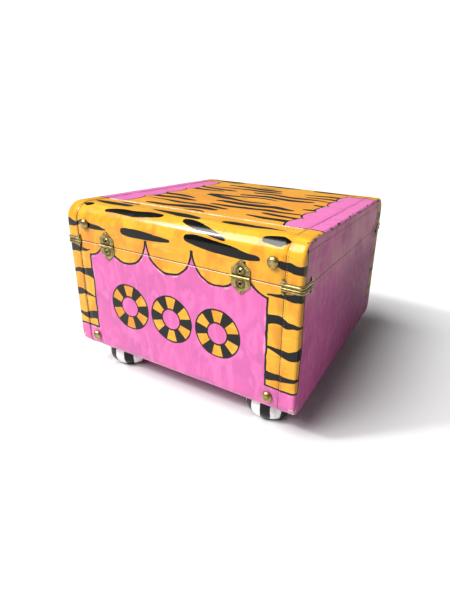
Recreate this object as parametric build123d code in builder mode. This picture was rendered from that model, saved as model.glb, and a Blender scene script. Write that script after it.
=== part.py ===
from build123d import *
import math
import os

# Small square suitcase on bun feet, used as a box for papers and keepsakes.
# Millimetres. X runs left to right seen from the front, Y from the front to the hinge side, Z up.
# The origin is on the floor, midway between the four feet.

# Case
case_width = 305.0
case_depth = 305.0
body_height = 143.0
lid_height = 44.0
lid_overhang = 2.0
parting_gap = 0.5
board = 4.5
top_roll = 20.0
bottom_roll = 15.0
corner_round = 4.0
inner_corner = 1.0

# End covers, lining and closing lip
cover_thickness = 1.0
cover_wrap = 18.0
lining_thickness = 0.8
lip_thickness = 3.0
lip_depth = 18.0
lip_rise = 6.0
lip_clearance = 0.8
lining_to_lip = 1.5

# Feet
foot_height = 30.0
foot_radius = 30.5
foot_top_radius = 28.5
foot_base_radius = 19.0
foot_belly_height = 17.0
foot_inset_x = 45.0
foot_inset_y = 43.0
screw_radius = 2.0
screw_head_radius = 4.0
screw_head_height = 2.4
screw_grip = 18.0
washer_radius = 7.0
washer_thickness = 1.0
screw_clearance = 0.1

# Butt hinges
hinge_inset = 64.0
hinge_width = 21.0
leaf_length = 17.2
leaf_thickness = 0.8
leaf_waist = 0.3
lobe_radius = 2.35
lobe_distance = 7.7
lobe_sweep = 50.0
barrel_radius = 1.6
barrel_standoff = 0.15
knuckle_gap = 0.15
hinge_pin_radius = 0.9
pin_clearance = 0.05
boss_distance = 6.2
boss_radius = 3.4
boss_top_radius = 2.7
boss_height = 0.6
bead_radius = 1.1
bead_sink = 0.35

# Rivets
tube_rivet_radius = 1.5
tube_rivet_bore = 1.15
tube_rivet_head_radius = 2.35
tube_rivet_head_height = 0.5
rivet_radius = 1.2
rivet_head_radius = 2.4
rivet_head_height = 1.1
clamp_rivet_radius = 0.9
clamp_rivet_head_radius = 1.45
clamp_rivet_head_height = 0.7
rivet_clearance = 0.05
rivet_end_margin = 0.3

# Rest studs on the hinge side
stud_inset = 30.5
body_stud_rise = 19.7
lid_stud_drop = 22.6
stud_radius = 6.0
stud_dome = 4.6
stud_shank_radius = 1.8

# Corner clamps
clamp_arm = 21.5
clamp_thickness = 0.8
clamp_ridge = 0.7
ridge_foot = 0.95
ridge_crest = 0.4
ridge_spacing = 0.15
ridge_margin = 0.3
lid_band = 3.6
body_band = 4.55
tab_radius = 2.0
tab_drop = 5.85
ear_radius = 2.7
ear_rise = 4.9

# Handle
handle_drop = 24.0
handle_span = 104.0
loop_wire_radius = 1.5
loop_width = 18.0
loop_length = 16.0
loop_corner = 3.0
loop_running_clearance = 0.08
bracket_width = 10.0
bracket_length = 24.0
bracket_thickness = 1.2
bracket_corner = 3.0
bracket_tunnel_wall = 1.0
bracket_rivet_offset = 8.2
handle_face_gap = 0.3
grip_face_gap = 0.35
grip_height = 15.0
grip_thickness = 12.0
grip_edge = 5.0
grip_end_drop = 28.0
grip_bow = 10.0
grip_eye_wall = 2.2
grip_eye_clearance = 0.1
grip_tab_width = 12.0

# Catches
catch_inset = 47.5
catch_flange_width = 36.0
catch_flange_height = 24.0
catch_flange_thickness = 1.0
catch_flange_corner = 5.0
catch_box_width = 23.0
catch_box_height = 22.0
catch_box_depth = 5.0
catch_box_corner = 2.0
catch_wall = 0.9
catch_edge_bevel = 0.5
catch_below_rim = 3.0
catch_rivet_offset = 14.8
hasp_pivot_rise = 10.5
hasp_length = 27.0
hasp_width = 18.0
hasp_tip_width = 13.0
hasp_tip_corner = 3.0
hasp_thickness = 1.2
hasp_gap = 0.4
hasp_open_angle = 25.0
hasp_barrel_radius = 2.0
hasp_barrel_length = 10.0
hasp_pin_radius = 1.0
hasp_knuckle_length = 3.8
hasp_knuckle_gap = 0.2
thumb_lip_width = 7.8
thumb_lip_height = 2.0
thumb_lip_thickness = 1.2
thumb_lip_margin = 1.0
hasp_plate_width = 34.0
hasp_plate_height = 16.0
hasp_plate_thickness = 1.0
hasp_plate_corner = 4.0
hasp_plate_rise = 1.5
hasp_rivet_offset = 13.2
hasp_rivet_rise = 5.0
lug_distance = 22.0
lug_thickness = 1.6
lug_height = 6.0
lug_reach = 4.1
lug_slot_margin = 0.7
eye_height = 2.8
eye_start = 1.6
eye_end = 3.5
bolt_thickness = 1.5
bolt_height = 2.0
bolt_gap = 0.5
slider_gap = 0.3
slider_width = 5.0
slider_length = 16.0
button_radius = 2.8
button_height = 1.8
button_neck_radius = 1.5
button_travel = 4.0
button_clearance = 0.2
button_below_lug = 9.5

# Levels and faces that follow from the sizes above
floor_z = foot_height
parting_z = floor_z + body_height
top_z = parting_z + lid_height
case_height = body_height + lid_height
body_rim = parting_z - parting_gap / 2
lid_rim = parting_z + parting_gap / 2
end_face = case_width / 2
hinge_face = case_depth / 2
front_face = -case_depth / 2
lid_front = front_face - lid_overhang
cover_edge = end_face - cover_wrap
hinge_x = end_face - hinge_inset
stud_x = end_face - stud_inset
catch_x = end_face - catch_inset
lip_bottom = body_rim - lip_depth
lip_top = lid_rim + lip_rise
hinge_axis_out = barrel_radius + barrel_standoff
catch_top = body_rim - catch_below_rim
catch_mid = catch_top - catch_flange_height / 2
hasp_pivot_out = catch_box_depth + hasp_gap + hasp_thickness / 2
hasp_pivot_z = parting_z + hasp_pivot_rise
lug_level = hasp_pivot_z - lug_distance
button_level = lug_level - button_below_lug
bolt_tongue = button_travel - bolt_gap + slider_gap
handle_axis_out = loop_wire_radius + handle_face_gap
handle_axis_z = parting_z - handle_drop
grip_flat_drop = grip_end_drop - grip_height / 2 + grip_edge
grip_lean = math.atan2(grip_thickness / 2, grip_flat_drop)
grip_reach = math.hypot(grip_thickness / 2, grip_flat_drop)
handle_rest_tilt = grip_lean + math.asin((grip_face_gap - handle_axis_out) / grip_reach)
shank_end = board - rivet_end_margin

os.makedirs("parts", exist_ok=True)


def finish(piece, name):
    """Labels a finished piece and writes it."""
    piece.part.label = name
    export_step(piece.part, f"parts/{name}.step")


def on_hinge_side(x, z, out=0.0):
    """A plane on the hinge side of the case, facing out, with its own Y up."""
    return Plane(origin=(x, hinge_face + out, z), x_dir=(-1, 0, 0), z_dir=(0, 1, 0))


def on_front(x, z, out=0.0):
    """A plane on the body's front, facing out, with its own Y up."""
    return Plane(origin=(x, front_face - out, z), x_dir=(1, 0, 0), z_dir=(0, -1, 0))


def on_lid_front(x, z, out=0.0):
    """A plane on the lid's front, facing out, with its own Y up."""
    return Plane(origin=(x, lid_front - out, z), x_dir=(1, 0, 0), z_dir=(0, -1, 0))


def on_end(side, y, z, out=0.0):
    """A plane on one end of the case, facing out, with its own Y up."""
    return Plane(origin=(side * (end_face + out), y, z), x_dir=(0, side, 0), z_dir=(side, 0, 0))


def rolled_block(front, rear, half_width, low, high, low_roll, high_roll, corner):
    """A block with rolled long edges below or above, its ends rounded all the way round."""
    with BuildPart() as block:
        with BuildSketch(Plane.YZ.offset(-half_width)) as section:
            with Locations(((front + rear) / 2, (low + high) / 2)):
                Rectangle(rear - front, high - low)
            if low_roll > 0:
                fillet(section.vertices().group_by(Axis.Y)[0], low_roll)
            if high_roll > 0:
                fillet(section.vertices().group_by(Axis.Y)[-1], high_roll)
        extrude(amount=2 * half_width)
        fillet(block.edges().filter_by(Axis.Z), corner)
    return block.part


def body_block(inset, low, high, corner):
    """The body's outer form moved in by an inset, between two levels."""
    roll = bottom_roll - inset
    return rolled_block(front_face + inset, hinge_face - inset, end_face - inset, low, high, roll, 0, corner)


def lid_block(inset, low, high, corner):
    """The lid's outer form moved in by an inset, between two levels."""
    roll = top_roll - inset
    return rolled_block(lid_front + inset, hinge_face - inset, end_face - inset, low, high, 0, roll, corner)


def domed_rivet(head_radius, head_height, shank_radius, shank_length):
    """A domed rivet along Z with the underside of its head at the origin."""
    dome_radius = (head_radius**2 + head_height**2) / (2 * head_height)
    dome_angle = math.degrees(math.asin(head_radius / dome_radius))
    with BuildPart() as rivet:
        with BuildSketch(Plane.XZ):
            with BuildLine():
                Polyline((0, -shank_length), (shank_radius, -shank_length), (shank_radius, 0), (head_radius, 0))
                CenterArc((0, head_height - dome_radius), dome_radius, 90 - dome_angle, dome_angle)
                Line((0, head_height), (0, -shank_length))
            make_face()
        revolve(axis=Axis.Z)
    return rivet.part


def flat_rivet(head_radius, head_height, shank_radius, shank_length, bore=0.0):
    """A flat-headed rivet, hollow if it has a bore, along Z with the underside of its head at the origin."""
    with BuildPart() as rivet:
        Cylinder(shank_radius, shank_length, align=(Align.CENTER, Align.CENTER, Align.MAX))
        Cylinder(head_radius, head_height, align=(Align.CENTER, Align.CENTER, Align.MIN))
        if bore > 0:
            with Locations((0, 0, head_height)):
                Hole(bore)
    return rivet.part


def rivet_group(name, rivet, places):
    """A set of like rivets, one at each place, as one node."""
    with BuildPart() as group:
        for place in places:
            add(rivet.moved(place.location))
    finish(group, name)


def drill(places, radius, depth):
    """Blind or through holes for shanks, one at each place, in the part being built."""
    for place in places:
        with Locations(place):
            Hole(radius, depth)


# Places of the fasteners
hinge_xs = (-hinge_x, hinge_x)
hinge_z = parting_z
body_hinge_places = [on_hinge_side(x, hinge_z - boss_distance) for x in hinge_xs]
lid_hinge_places = [on_hinge_side(x, hinge_z + boss_distance) for x in hinge_xs]
body_stud_places = [on_hinge_side(x, floor_z + body_stud_rise) for x in (-stud_x, stud_x)]
lid_stud_places = [on_hinge_side(x, top_z - lid_stud_drop) for x in (-stud_x, stud_x)]
sides = {"left": -1, "right": 1}

clamp_rivet_inset = clamp_arm - ear_radius
clamp_x = end_face - clamp_rivet_inset
lid_clamp_z = lid_rim + ear_rise
body_clamp_z = body_rim - tab_drop
body_clamp_places = [on_hinge_side(s * clamp_x, body_clamp_z) for s in (-1, 1)]
body_clamp_places += [on_front(s * clamp_x, body_clamp_z) for s in (-1, 1)]
body_clamp_places += [on_end(s, hinge_face - clamp_rivet_inset, body_clamp_z) for s in (-1, 1)]
body_clamp_places += [on_end(s, front_face + clamp_rivet_inset, body_clamp_z) for s in (-1, 1)]
lid_clamp_places = [on_hinge_side(s * clamp_x, lid_clamp_z) for s in (-1, 1)]
lid_clamp_places += [on_lid_front(s * clamp_x, lid_clamp_z) for s in (-1, 1)]
lid_clamp_places += [on_end(s, hinge_face - clamp_rivet_inset, lid_clamp_z) for s in (-1, 1)]
lid_clamp_places += [on_end(s, lid_front + clamp_rivet_inset, lid_clamp_z) for s in (-1, 1)]

foot_x = end_face - foot_inset_x
foot_y = hinge_face - foot_inset_y
foot_points = {
    "front_left": (-foot_x, -foot_y),
    "front_right": (foot_x, -foot_y),
    "rear_left": (-foot_x, foot_y),
    "rear_right": (foot_x, foot_y),
}

bracket_xs = (-handle_span / 2, handle_span / 2)
bracket_levels = (handle_axis_z - bracket_rivet_offset, handle_axis_z + bracket_rivet_offset)
bracket_rivet_places = [on_front(x, z) for x in bracket_xs for z in bracket_levels]
bracket_rivet_seats = [place.offset(bracket_thickness) for place in bracket_rivet_places]
catch_xs = [s * catch_x + t * catch_rivet_offset for s in (-1, 1) for t in (-1, 1)]
catch_rivet_places = [on_front(x, catch_mid) for x in catch_xs]
catch_rivet_seats = [place.offset(catch_flange_thickness) for place in catch_rivet_places]
hasp_xs = [s * catch_x + t * hasp_rivet_offset for s in (-1, 1) for t in (-1, 1)]
hasp_plate_mid = lid_rim + hasp_plate_rise + hasp_plate_height / 2
hasp_rivet_places = [on_lid_front(x, hasp_plate_mid + hasp_rivet_rise) for x in hasp_xs]
hasp_rivet_seats = [place.offset(hasp_plate_thickness) for place in hasp_rivet_places]

rivet_hole = rivet_radius + rivet_clearance
tube_rivet_hole = tube_rivet_radius + rivet_clearance
clamp_rivet_hole = clamp_rivet_radius + rivet_clearance
stud_hole = stud_shank_radius + rivet_clearance
screw_hole = screw_radius + screw_clearance

# Body and lid outer forms
body_outer = body_block(0, floor_z, body_rim, corner_round)
lid_outer = lid_block(0, lid_rim, top_z, corner_round)
cover_corner = corner_round - cover_thickness
body_core = body_block(cover_thickness, floor_z + cover_thickness, body_rim + board, cover_corner)
lid_core = lid_block(cover_thickness, lid_rim - board, top_z - cover_thickness, cover_corner)


def end_cover(outer, core, side):
    """The covering of one end, wrapped round onto the long sides as far as its stitched edge."""
    with BuildPart() as cover:
        add(outer)
        with Locations((side * (cover_edge + end_face), 0, (floor_z + top_z) / 2)):
            Box(2 * end_face, 2 * case_depth, 2 * case_height, mode=Mode.INTERSECT)
        add(core, mode=Mode.SUBTRACT)
    return cover.part


body_covers = {name: end_cover(body_outer, body_core, side) for name, side in sides.items()}
lid_covers = {name: end_cover(lid_outer, lid_core, side) for name, side in sides.items()}

# Body shell
with BuildPart() as body_shell:
    add(body_outer)
    add(body_block(board, floor_z + board, body_rim + board, inner_corner), mode=Mode.SUBTRACT)
    for cover in body_covers.values():
        add(cover, mode=Mode.SUBTRACT)
    drill(body_hinge_places, tube_rivet_hole, board)
    drill(body_stud_places, stud_hole, board)
    drill(body_clamp_places, clamp_rivet_hole, shank_end)
    drill(bracket_rivet_places, rivet_hole, board)
    drill(catch_rivet_places, rivet_hole, board)
    for x, y in foot_points.values():
        with Locations((x, y, floor_z + board)):
            Hole(screw_hole, board)
finish(body_shell, "body_shell")

# Lid shell
with BuildPart() as lid_shell:
    add(lid_outer)
    add(lid_block(board, lid_rim - board, top_z - board, inner_corner), mode=Mode.SUBTRACT)
    for cover in lid_covers.values():
        add(cover, mode=Mode.SUBTRACT)
    drill(lid_hinge_places, tube_rivet_hole, board)
    drill(lid_stud_places, stud_hole, board)
    drill(lid_clamp_places, clamp_rivet_hole, shank_end)
    drill(hasp_rivet_places, rivet_hole, board)
finish(lid_shell, "lid_shell")

# End covers, drilled for the clamp rivets
for name in sides:
    with BuildPart() as body_cover:
        add(body_covers[name])
        drill(body_clamp_places, clamp_rivet_hole, shank_end)
    finish(body_cover, f"body_end_cover_{name}")
    with BuildPart() as lid_cover:
        add(lid_covers[name])
        drill(lid_clamp_places, clamp_rivet_hole, shank_end)
    finish(lid_cover, f"lid_end_cover_{name}")

# Linings, pasted to the inside
lining_inset = board + lining_thickness
with BuildPart() as body_lining:
    add(body_block(board, floor_z + board, lip_bottom, inner_corner))
    add(body_block(lining_inset, floor_z + lining_inset, lip_bottom + board, inner_corner), mode=Mode.SUBTRACT)
    for x, y in foot_points.values():
        with Locations((x, y, floor_z + lining_inset)):
            Hole(screw_hole, lining_thickness)
finish(body_lining, "body_lining")

lid_lining_bottom = lip_top + lining_to_lip
with BuildPart() as lid_lining:
    add(lid_block(board, lid_lining_bottom, top_z - board, inner_corner))
    add(lid_block(lining_inset, lid_lining_bottom - board, top_z - lining_inset, inner_corner), mode=Mode.SUBTRACT)
finish(lid_lining, "lid_lining")

# Closing lip, set back above the rim so that the lid drops over it
lip_inset = board + lip_thickness
with BuildPart() as closing_lip:
    for level, height, inset in (
        (lip_bottom, lip_depth, board),
        (body_rim, lip_top - body_rim, board + lip_clearance),
    ):
        with BuildSketch(Plane.XY.offset(level)):
            RectangleRounded(case_width - 2 * inset, case_depth - 2 * inset, inner_corner)
            RectangleRounded(case_width - 2 * lip_inset, case_depth - 2 * lip_inset, inner_corner, mode=Mode.SUBTRACT)
        extrude(amount=height)
finish(closing_lip, "closing_lip")


def turned_foot(x, y):
    """A turned bun foot with a flat base, a round belly and a hole for its screw."""
    with BuildPart() as foot:
        with BuildSketch(Plane(origin=(x, y, 0), x_dir=(1, 0, 0), z_dir=(0, -1, 0))):
            with BuildLine():
                Polyline((0, foot_height), (0, 0), (foot_base_radius, 0))
                belly = (foot_radius, foot_belly_height)
                TangentArc(belly, (foot_base_radius, 0), tangent=(0, -1), tangent_from_first=True)
                Line(belly, (foot_top_radius, foot_height))
                Line((foot_top_radius, foot_height), (0, foot_height))
            make_face()
        revolve(axis=Axis((x, y, 0), (0, 0, 1)))
        with Locations((x, y, foot_height)):
            Hole(screw_radius, screw_grip)
    return foot


for name, (x, y) in foot_points.items():
    finish(turned_foot(x, y), f"foot_{name}")

# Foot screws and washers inside the case
washer_level = floor_z + lining_inset
screw_seat = washer_level + washer_thickness
foot_screw = domed_rivet(screw_head_radius, screw_head_height, screw_radius, screw_seat - floor_z + screw_grip)
foot_screw_places = [Plane(origin=(x, y, screw_seat)) for x, y in foot_points.values()]
rivet_group("foot_screws", foot_screw, foot_screw_places)

with BuildPart() as foot_washers:
    with BuildSketch(Plane.XY.offset(washer_level)):
        with Locations(*foot_points.values()):
            Circle(washer_radius)
            Circle(screw_hole, mode=Mode.SUBTRACT)
    extrude(amount=washer_thickness)
finish(foot_washers, "foot_washers")


def hinge_leaf(x, up, knuckles, bore):
    """One stamped leaf: a lobed plate with beads and a riveted boss, rolled into its knuckles."""
    plane = Plane(origin=(x, hinge_face, hinge_z), x_dir=(-up, 0, 0), z_dir=(0, 1, 0))
    half = hinge_width / 2
    start = barrel_radius + barrel_standoff + knuckle_gap
    lobe = (half - lobe_radius, lobe_distance)
    tip = (0, leaf_length - lobe_radius)
    with BuildPart() as leaf:
        with BuildSketch(plane):
            with BuildLine():
                Polyline((0, start), (half, start), (half, lobe_distance))
                side_lobe = CenterArc(lobe, lobe_radius, 0, lobe_sweep)
                tip_lobe = CenterArc(tip, lobe_radius, 90 - lobe_sweep, lobe_sweep)
                waist = (side_lobe @ 1 + tip_lobe @ 0) / 2
                inward = waist.normalized() * leaf_waist
                ThreePointArc(side_lobe @ 1, waist - inward, tip_lobe @ 0)
                mirror(about=Plane.YZ)
            make_face()
        extrude(amount=leaf_thickness)
        with BuildSketch(plane.offset(leaf_thickness)):
            with Locations((0, boss_distance)):
                Circle(boss_radius)
        extrude(amount=boss_height, taper=math.degrees(math.atan2(boss_radius - boss_top_radius, boss_height)))
        for bead_x, bead_y in (lobe, (-lobe[0], lobe[1]), tip):
            with Locations(plane.offset(leaf_thickness - bead_sink) * Location((bead_x, bead_y, 0))):
                Sphere(bead_radius, arc_size1=0, align=(Align.CENTER, Align.CENTER, Align.MIN))
        for low, high in knuckles:
            with BuildSketch(plane):
                with Locations(((low + high) / 2, start / 2)):
                    Rectangle(high - low, start)
            extrude(amount=leaf_thickness)
            with BuildSketch(Plane.YZ.offset(x - up * low)):
                with Locations((hinge_face + hinge_axis_out, hinge_z)):
                    Circle(barrel_radius)
            extrude(amount=-up * (high - low))
        with BuildSketch(Plane.YZ.offset(x)):
            with Locations((hinge_face + hinge_axis_out, hinge_z)):
                Circle(bore)
        extrude(amount=hinge_width, both=True, mode=Mode.SUBTRACT)
        with Locations(plane.offset(leaf_thickness + boss_height) * Location((0, boss_distance, 0))):
            Hole(tube_rivet_hole)
    return leaf


# Hinges: two outer knuckles on the body's leaf, one between them on the lid's
third = hinge_width / 6
outer_knuckles = ((-hinge_width / 2, -third), (third, hinge_width / 2))
middle_knuckle = ((-third + knuckle_gap, third - knuckle_gap),)
for name, side in sides.items():
    x = side * hinge_x
    finish(hinge_leaf(x, -1, outer_knuckles, hinge_pin_radius), f"hinge_leaf_body_{name}")
    finish(hinge_leaf(x, 1, middle_knuckle, hinge_pin_radius + pin_clearance), f"hinge_leaf_lid_{name}")
    with BuildPart() as hinge_pin:
        with BuildSketch(Plane.YZ.offset(x - hinge_width / 2)):
            with Locations((hinge_face + hinge_axis_out, hinge_z)):
                Circle(hinge_pin_radius)
        extrude(amount=hinge_width)
    finish(hinge_pin, f"hinge_pin_{name}")

hinge_rivet_seat = leaf_thickness + boss_height
hinge_rivet = flat_rivet(
    tube_rivet_head_radius,
    tube_rivet_head_height,
    tube_rivet_radius,
    hinge_rivet_seat + shank_end,
    bore=tube_rivet_bore,
)
rivet_group("hinge_rivets_body", hinge_rivet, [place.offset(hinge_rivet_seat) for place in body_hinge_places])
rivet_group("hinge_rivets_lid", hinge_rivet, [place.offset(hinge_rivet_seat) for place in lid_hinge_places])

# Rest studs
stud = domed_rivet(stud_radius, stud_dome, stud_shank_radius, shank_end)
rivet_group("rest_studs_body", stud, body_stud_places)
rivet_group("rest_studs_lid", stud, lid_stud_places)


def ridge(level):
    """The four outline points of one pressed ridge, from its lower foot to its upper one."""
    crest = clamp_thickness + clamp_ridge
    return [
        (clamp_thickness, level - ridge_foot),
        (crest, level - ridge_crest),
        (crest, level + ridge_crest),
        (clamp_thickness, level + ridge_foot),
    ]


def corner_clamp(face, rim, direction, height, ridges, tab_reach, tab_end_radius):
    """A ridged band bent round one upright corner, with a rounded tab at each end for its rivet."""
    with BuildPart() as clamp:
        with BuildLine(Plane.XY.offset(rim)) as outline:
            FilletPolyline(
                (end_face - clamp_arm, face), (end_face, face), (end_face, face - clamp_arm), radius=corner_round
            )
        section_plane = Plane(origin=outline.line @ 0, x_dir=(0, 1, 0), z_dir=(1, 0, 0))
        with BuildSketch(section_plane) as section:
            with BuildLine():
                ends = sorted((0, direction * height))
                points = [(0, ends[0]), (clamp_thickness, ends[0])]
                for level in sorted(direction * level for level in ridges):
                    points += ridge(level)
                points += [(clamp_thickness, ends[1]), (0, ends[1])]
                Polyline(*points, close=True)
            make_face()
        sweep(sections=section.sketch, path=outline.line)
        tab_z = rim + direction * tab_reach
        tab_planes = (
            Plane(origin=(end_face - clamp_rivet_inset, face, tab_z), x_dir=(-1, 0, 0), z_dir=(0, 1, 0)),
            Plane(origin=(end_face, face - clamp_rivet_inset, tab_z), x_dir=(0, 1, 0), z_dir=(1, 0, 0)),
        )
        for tab_plane in tab_planes:
            with BuildSketch(tab_plane):
                Circle(tab_end_radius)
                with Locations((0, -direction * tab_reach / 2)):
                    Rectangle(2 * tab_end_radius, tab_reach)
            extrude(amount=clamp_thickness)
    return clamp.part


ridge_pitch = 2 * ridge_foot + ridge_spacing
lid_ridges = (lid_band / 2,)
body_ridges = (ridge_foot + ridge_margin, ridge_foot + ridge_margin + ridge_pitch)
rear_clamps = {
    "lid": corner_clamp(hinge_face, lid_rim, 1, lid_band, lid_ridges, ear_rise, ear_radius),
    "body": corner_clamp(hinge_face, body_rim, -1, body_band, body_ridges, tab_drop, tab_radius),
}
front_clamps = {
    "lid": corner_clamp(-lid_front, lid_rim, 1, lid_band, lid_ridges, ear_rise, ear_radius),
    "body": corner_clamp(-front_face, body_rim, -1, body_band, body_ridges, tab_drop, tab_radius),
}
for owner, places in (("lid", lid_clamp_places), ("body", body_clamp_places)):
    outer_places = [place.offset(clamp_thickness) for place in places]
    for row, clamps in (("front", front_clamps), ("rear", rear_clamps)):
        for name, side in sides.items():
            with BuildPart() as clamp:
                add(clamps[owner])
                if row == "front":
                    mirror(about=Plane.XZ, mode=Mode.REPLACE)
                if side < 0:
                    mirror(about=Plane.YZ, mode=Mode.REPLACE)
                drill(outer_places, clamp_rivet_hole, clamp_thickness)
            finish(clamp, f"corner_clamp_{owner}_{row}_{name}")
    clamp_rivet = flat_rivet(
        clamp_rivet_head_radius,
        clamp_rivet_head_height,
        clamp_rivet_radius,
        clamp_thickness + shank_end - rivet_end_margin,
    )
    rivet_group(f"clamp_rivets_{owner}", clamp_rivet, outer_places)


# Handle: its own plane hangs from the bracket axis, tilted out until the grip clears the case
hang = Plane(
    origin=(0, front_face - handle_axis_out, handle_axis_z),
    x_dir=(1, 0, 0),
    z_dir=(0, -math.cos(handle_rest_tilt), math.sin(handle_rest_tilt)),
)
grip_arc = {
    "start": (-handle_span / 2, -grip_end_drop),
    "middle": (0, -grip_end_drop - grip_bow),
    "end": (handle_span / 2, -grip_end_drop),
}
eye_bore = loop_wire_radius + grip_eye_clearance
eye_radius = eye_bore + grip_eye_wall

with BuildPart() as handle_grip:
    with BuildLine(hang) as grip_line:
        ThreePointArc(grip_arc["start"], grip_arc["middle"], grip_arc["end"])
    with BuildSketch(Plane(origin=grip_line.line @ 0, x_dir=hang.z_dir, z_dir=grip_line.line % 0)) as grip_section:
        RectangleRounded(grip_thickness, grip_height, grip_edge)
    sweep(sections=grip_section.sketch, path=grip_line.line)
    for x in bracket_xs:
        eye_plane = Plane(origin=hang.from_local_coords((x, -loop_length, 0)), x_dir=hang.z_dir, z_dir=(1, 0, 0))
        with BuildSketch(eye_plane.offset(-grip_tab_width / 2)):
            Circle(eye_radius)
            drop = grip_end_drop - loop_length
            with Locations((0, drop / 2)):
                Rectangle(2 * eye_radius, drop)
        extrude(amount=grip_tab_width)
        with BuildSketch(eye_plane.offset(-grip_tab_width)):
            Circle(eye_bore)
        extrude(amount=2 * grip_tab_width, mode=Mode.SUBTRACT)
finish(handle_grip, "handle_grip")

for name, side in sides.items():
    x = side * handle_span / 2
    with BuildPart() as handle_loop:
        with BuildLine(hang) as loop_line:
            near, far = x - loop_width / 2, x + loop_width / 2
            corners = ((near, 0), (far, 0), (far, -loop_length), (near, -loop_length))
            FilletPolyline(*corners, radius=loop_corner, close=True)
        with BuildSketch(Plane(origin=loop_line.line @ 0, z_dir=loop_line.line % 0)) as wire_section:
            Circle(loop_wire_radius)
        sweep(sections=wire_section.sketch, path=loop_line.line)
    finish(handle_loop, f"handle_loop_{name}")

    tunnel_bore = loop_wire_radius + loop_running_clearance
    tunnel_radius = tunnel_bore + bracket_tunnel_wall
    with BuildPart() as handle_bracket:
        with BuildSketch(on_front(x, handle_axis_z)):
            RectangleRounded(bracket_width, bracket_length, bracket_corner)
        extrude(amount=bracket_thickness)
        with BuildSketch(Plane.YZ.offset(x - bracket_width / 2)):
            with Locations((front_face - handle_axis_out, handle_axis_z)):
                Circle(tunnel_radius)
            with Locations((front_face - handle_axis_out / 2, handle_axis_z)):
                Rectangle(handle_axis_out, 2 * tunnel_radius)
            with Locations((front_face + case_depth / 2, handle_axis_z)):
                Rectangle(case_depth, case_height, mode=Mode.SUBTRACT)
        extrude(amount=bracket_width)
        with BuildSketch(Plane.YZ.offset(x - bracket_width)):
            with Locations((front_face - handle_axis_out, handle_axis_z)):
                Circle(tunnel_bore)
        extrude(amount=2 * bracket_width, mode=Mode.SUBTRACT)
        drill(bracket_rivet_seats, rivet_hole, bracket_thickness)
    finish(handle_bracket, f"handle_bracket_{name}")

bracket_rivet = domed_rivet(rivet_head_radius, rivet_head_height, rivet_radius, bracket_thickness + shank_end)
rivet_group("handle_rivets", bracket_rivet, bracket_rivet_seats)

# Catches
slot_height = lug_height + 2 * lug_slot_margin
slot_width = lug_thickness + 2 * lug_slot_margin
slider_back = catch_box_depth + hasp_gap - eye_end + (eye_end - eye_start - bolt_thickness) / 2
slider_level = (lug_level + button_level) / 2
inside_depth = catch_box_depth - catch_wall

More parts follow.
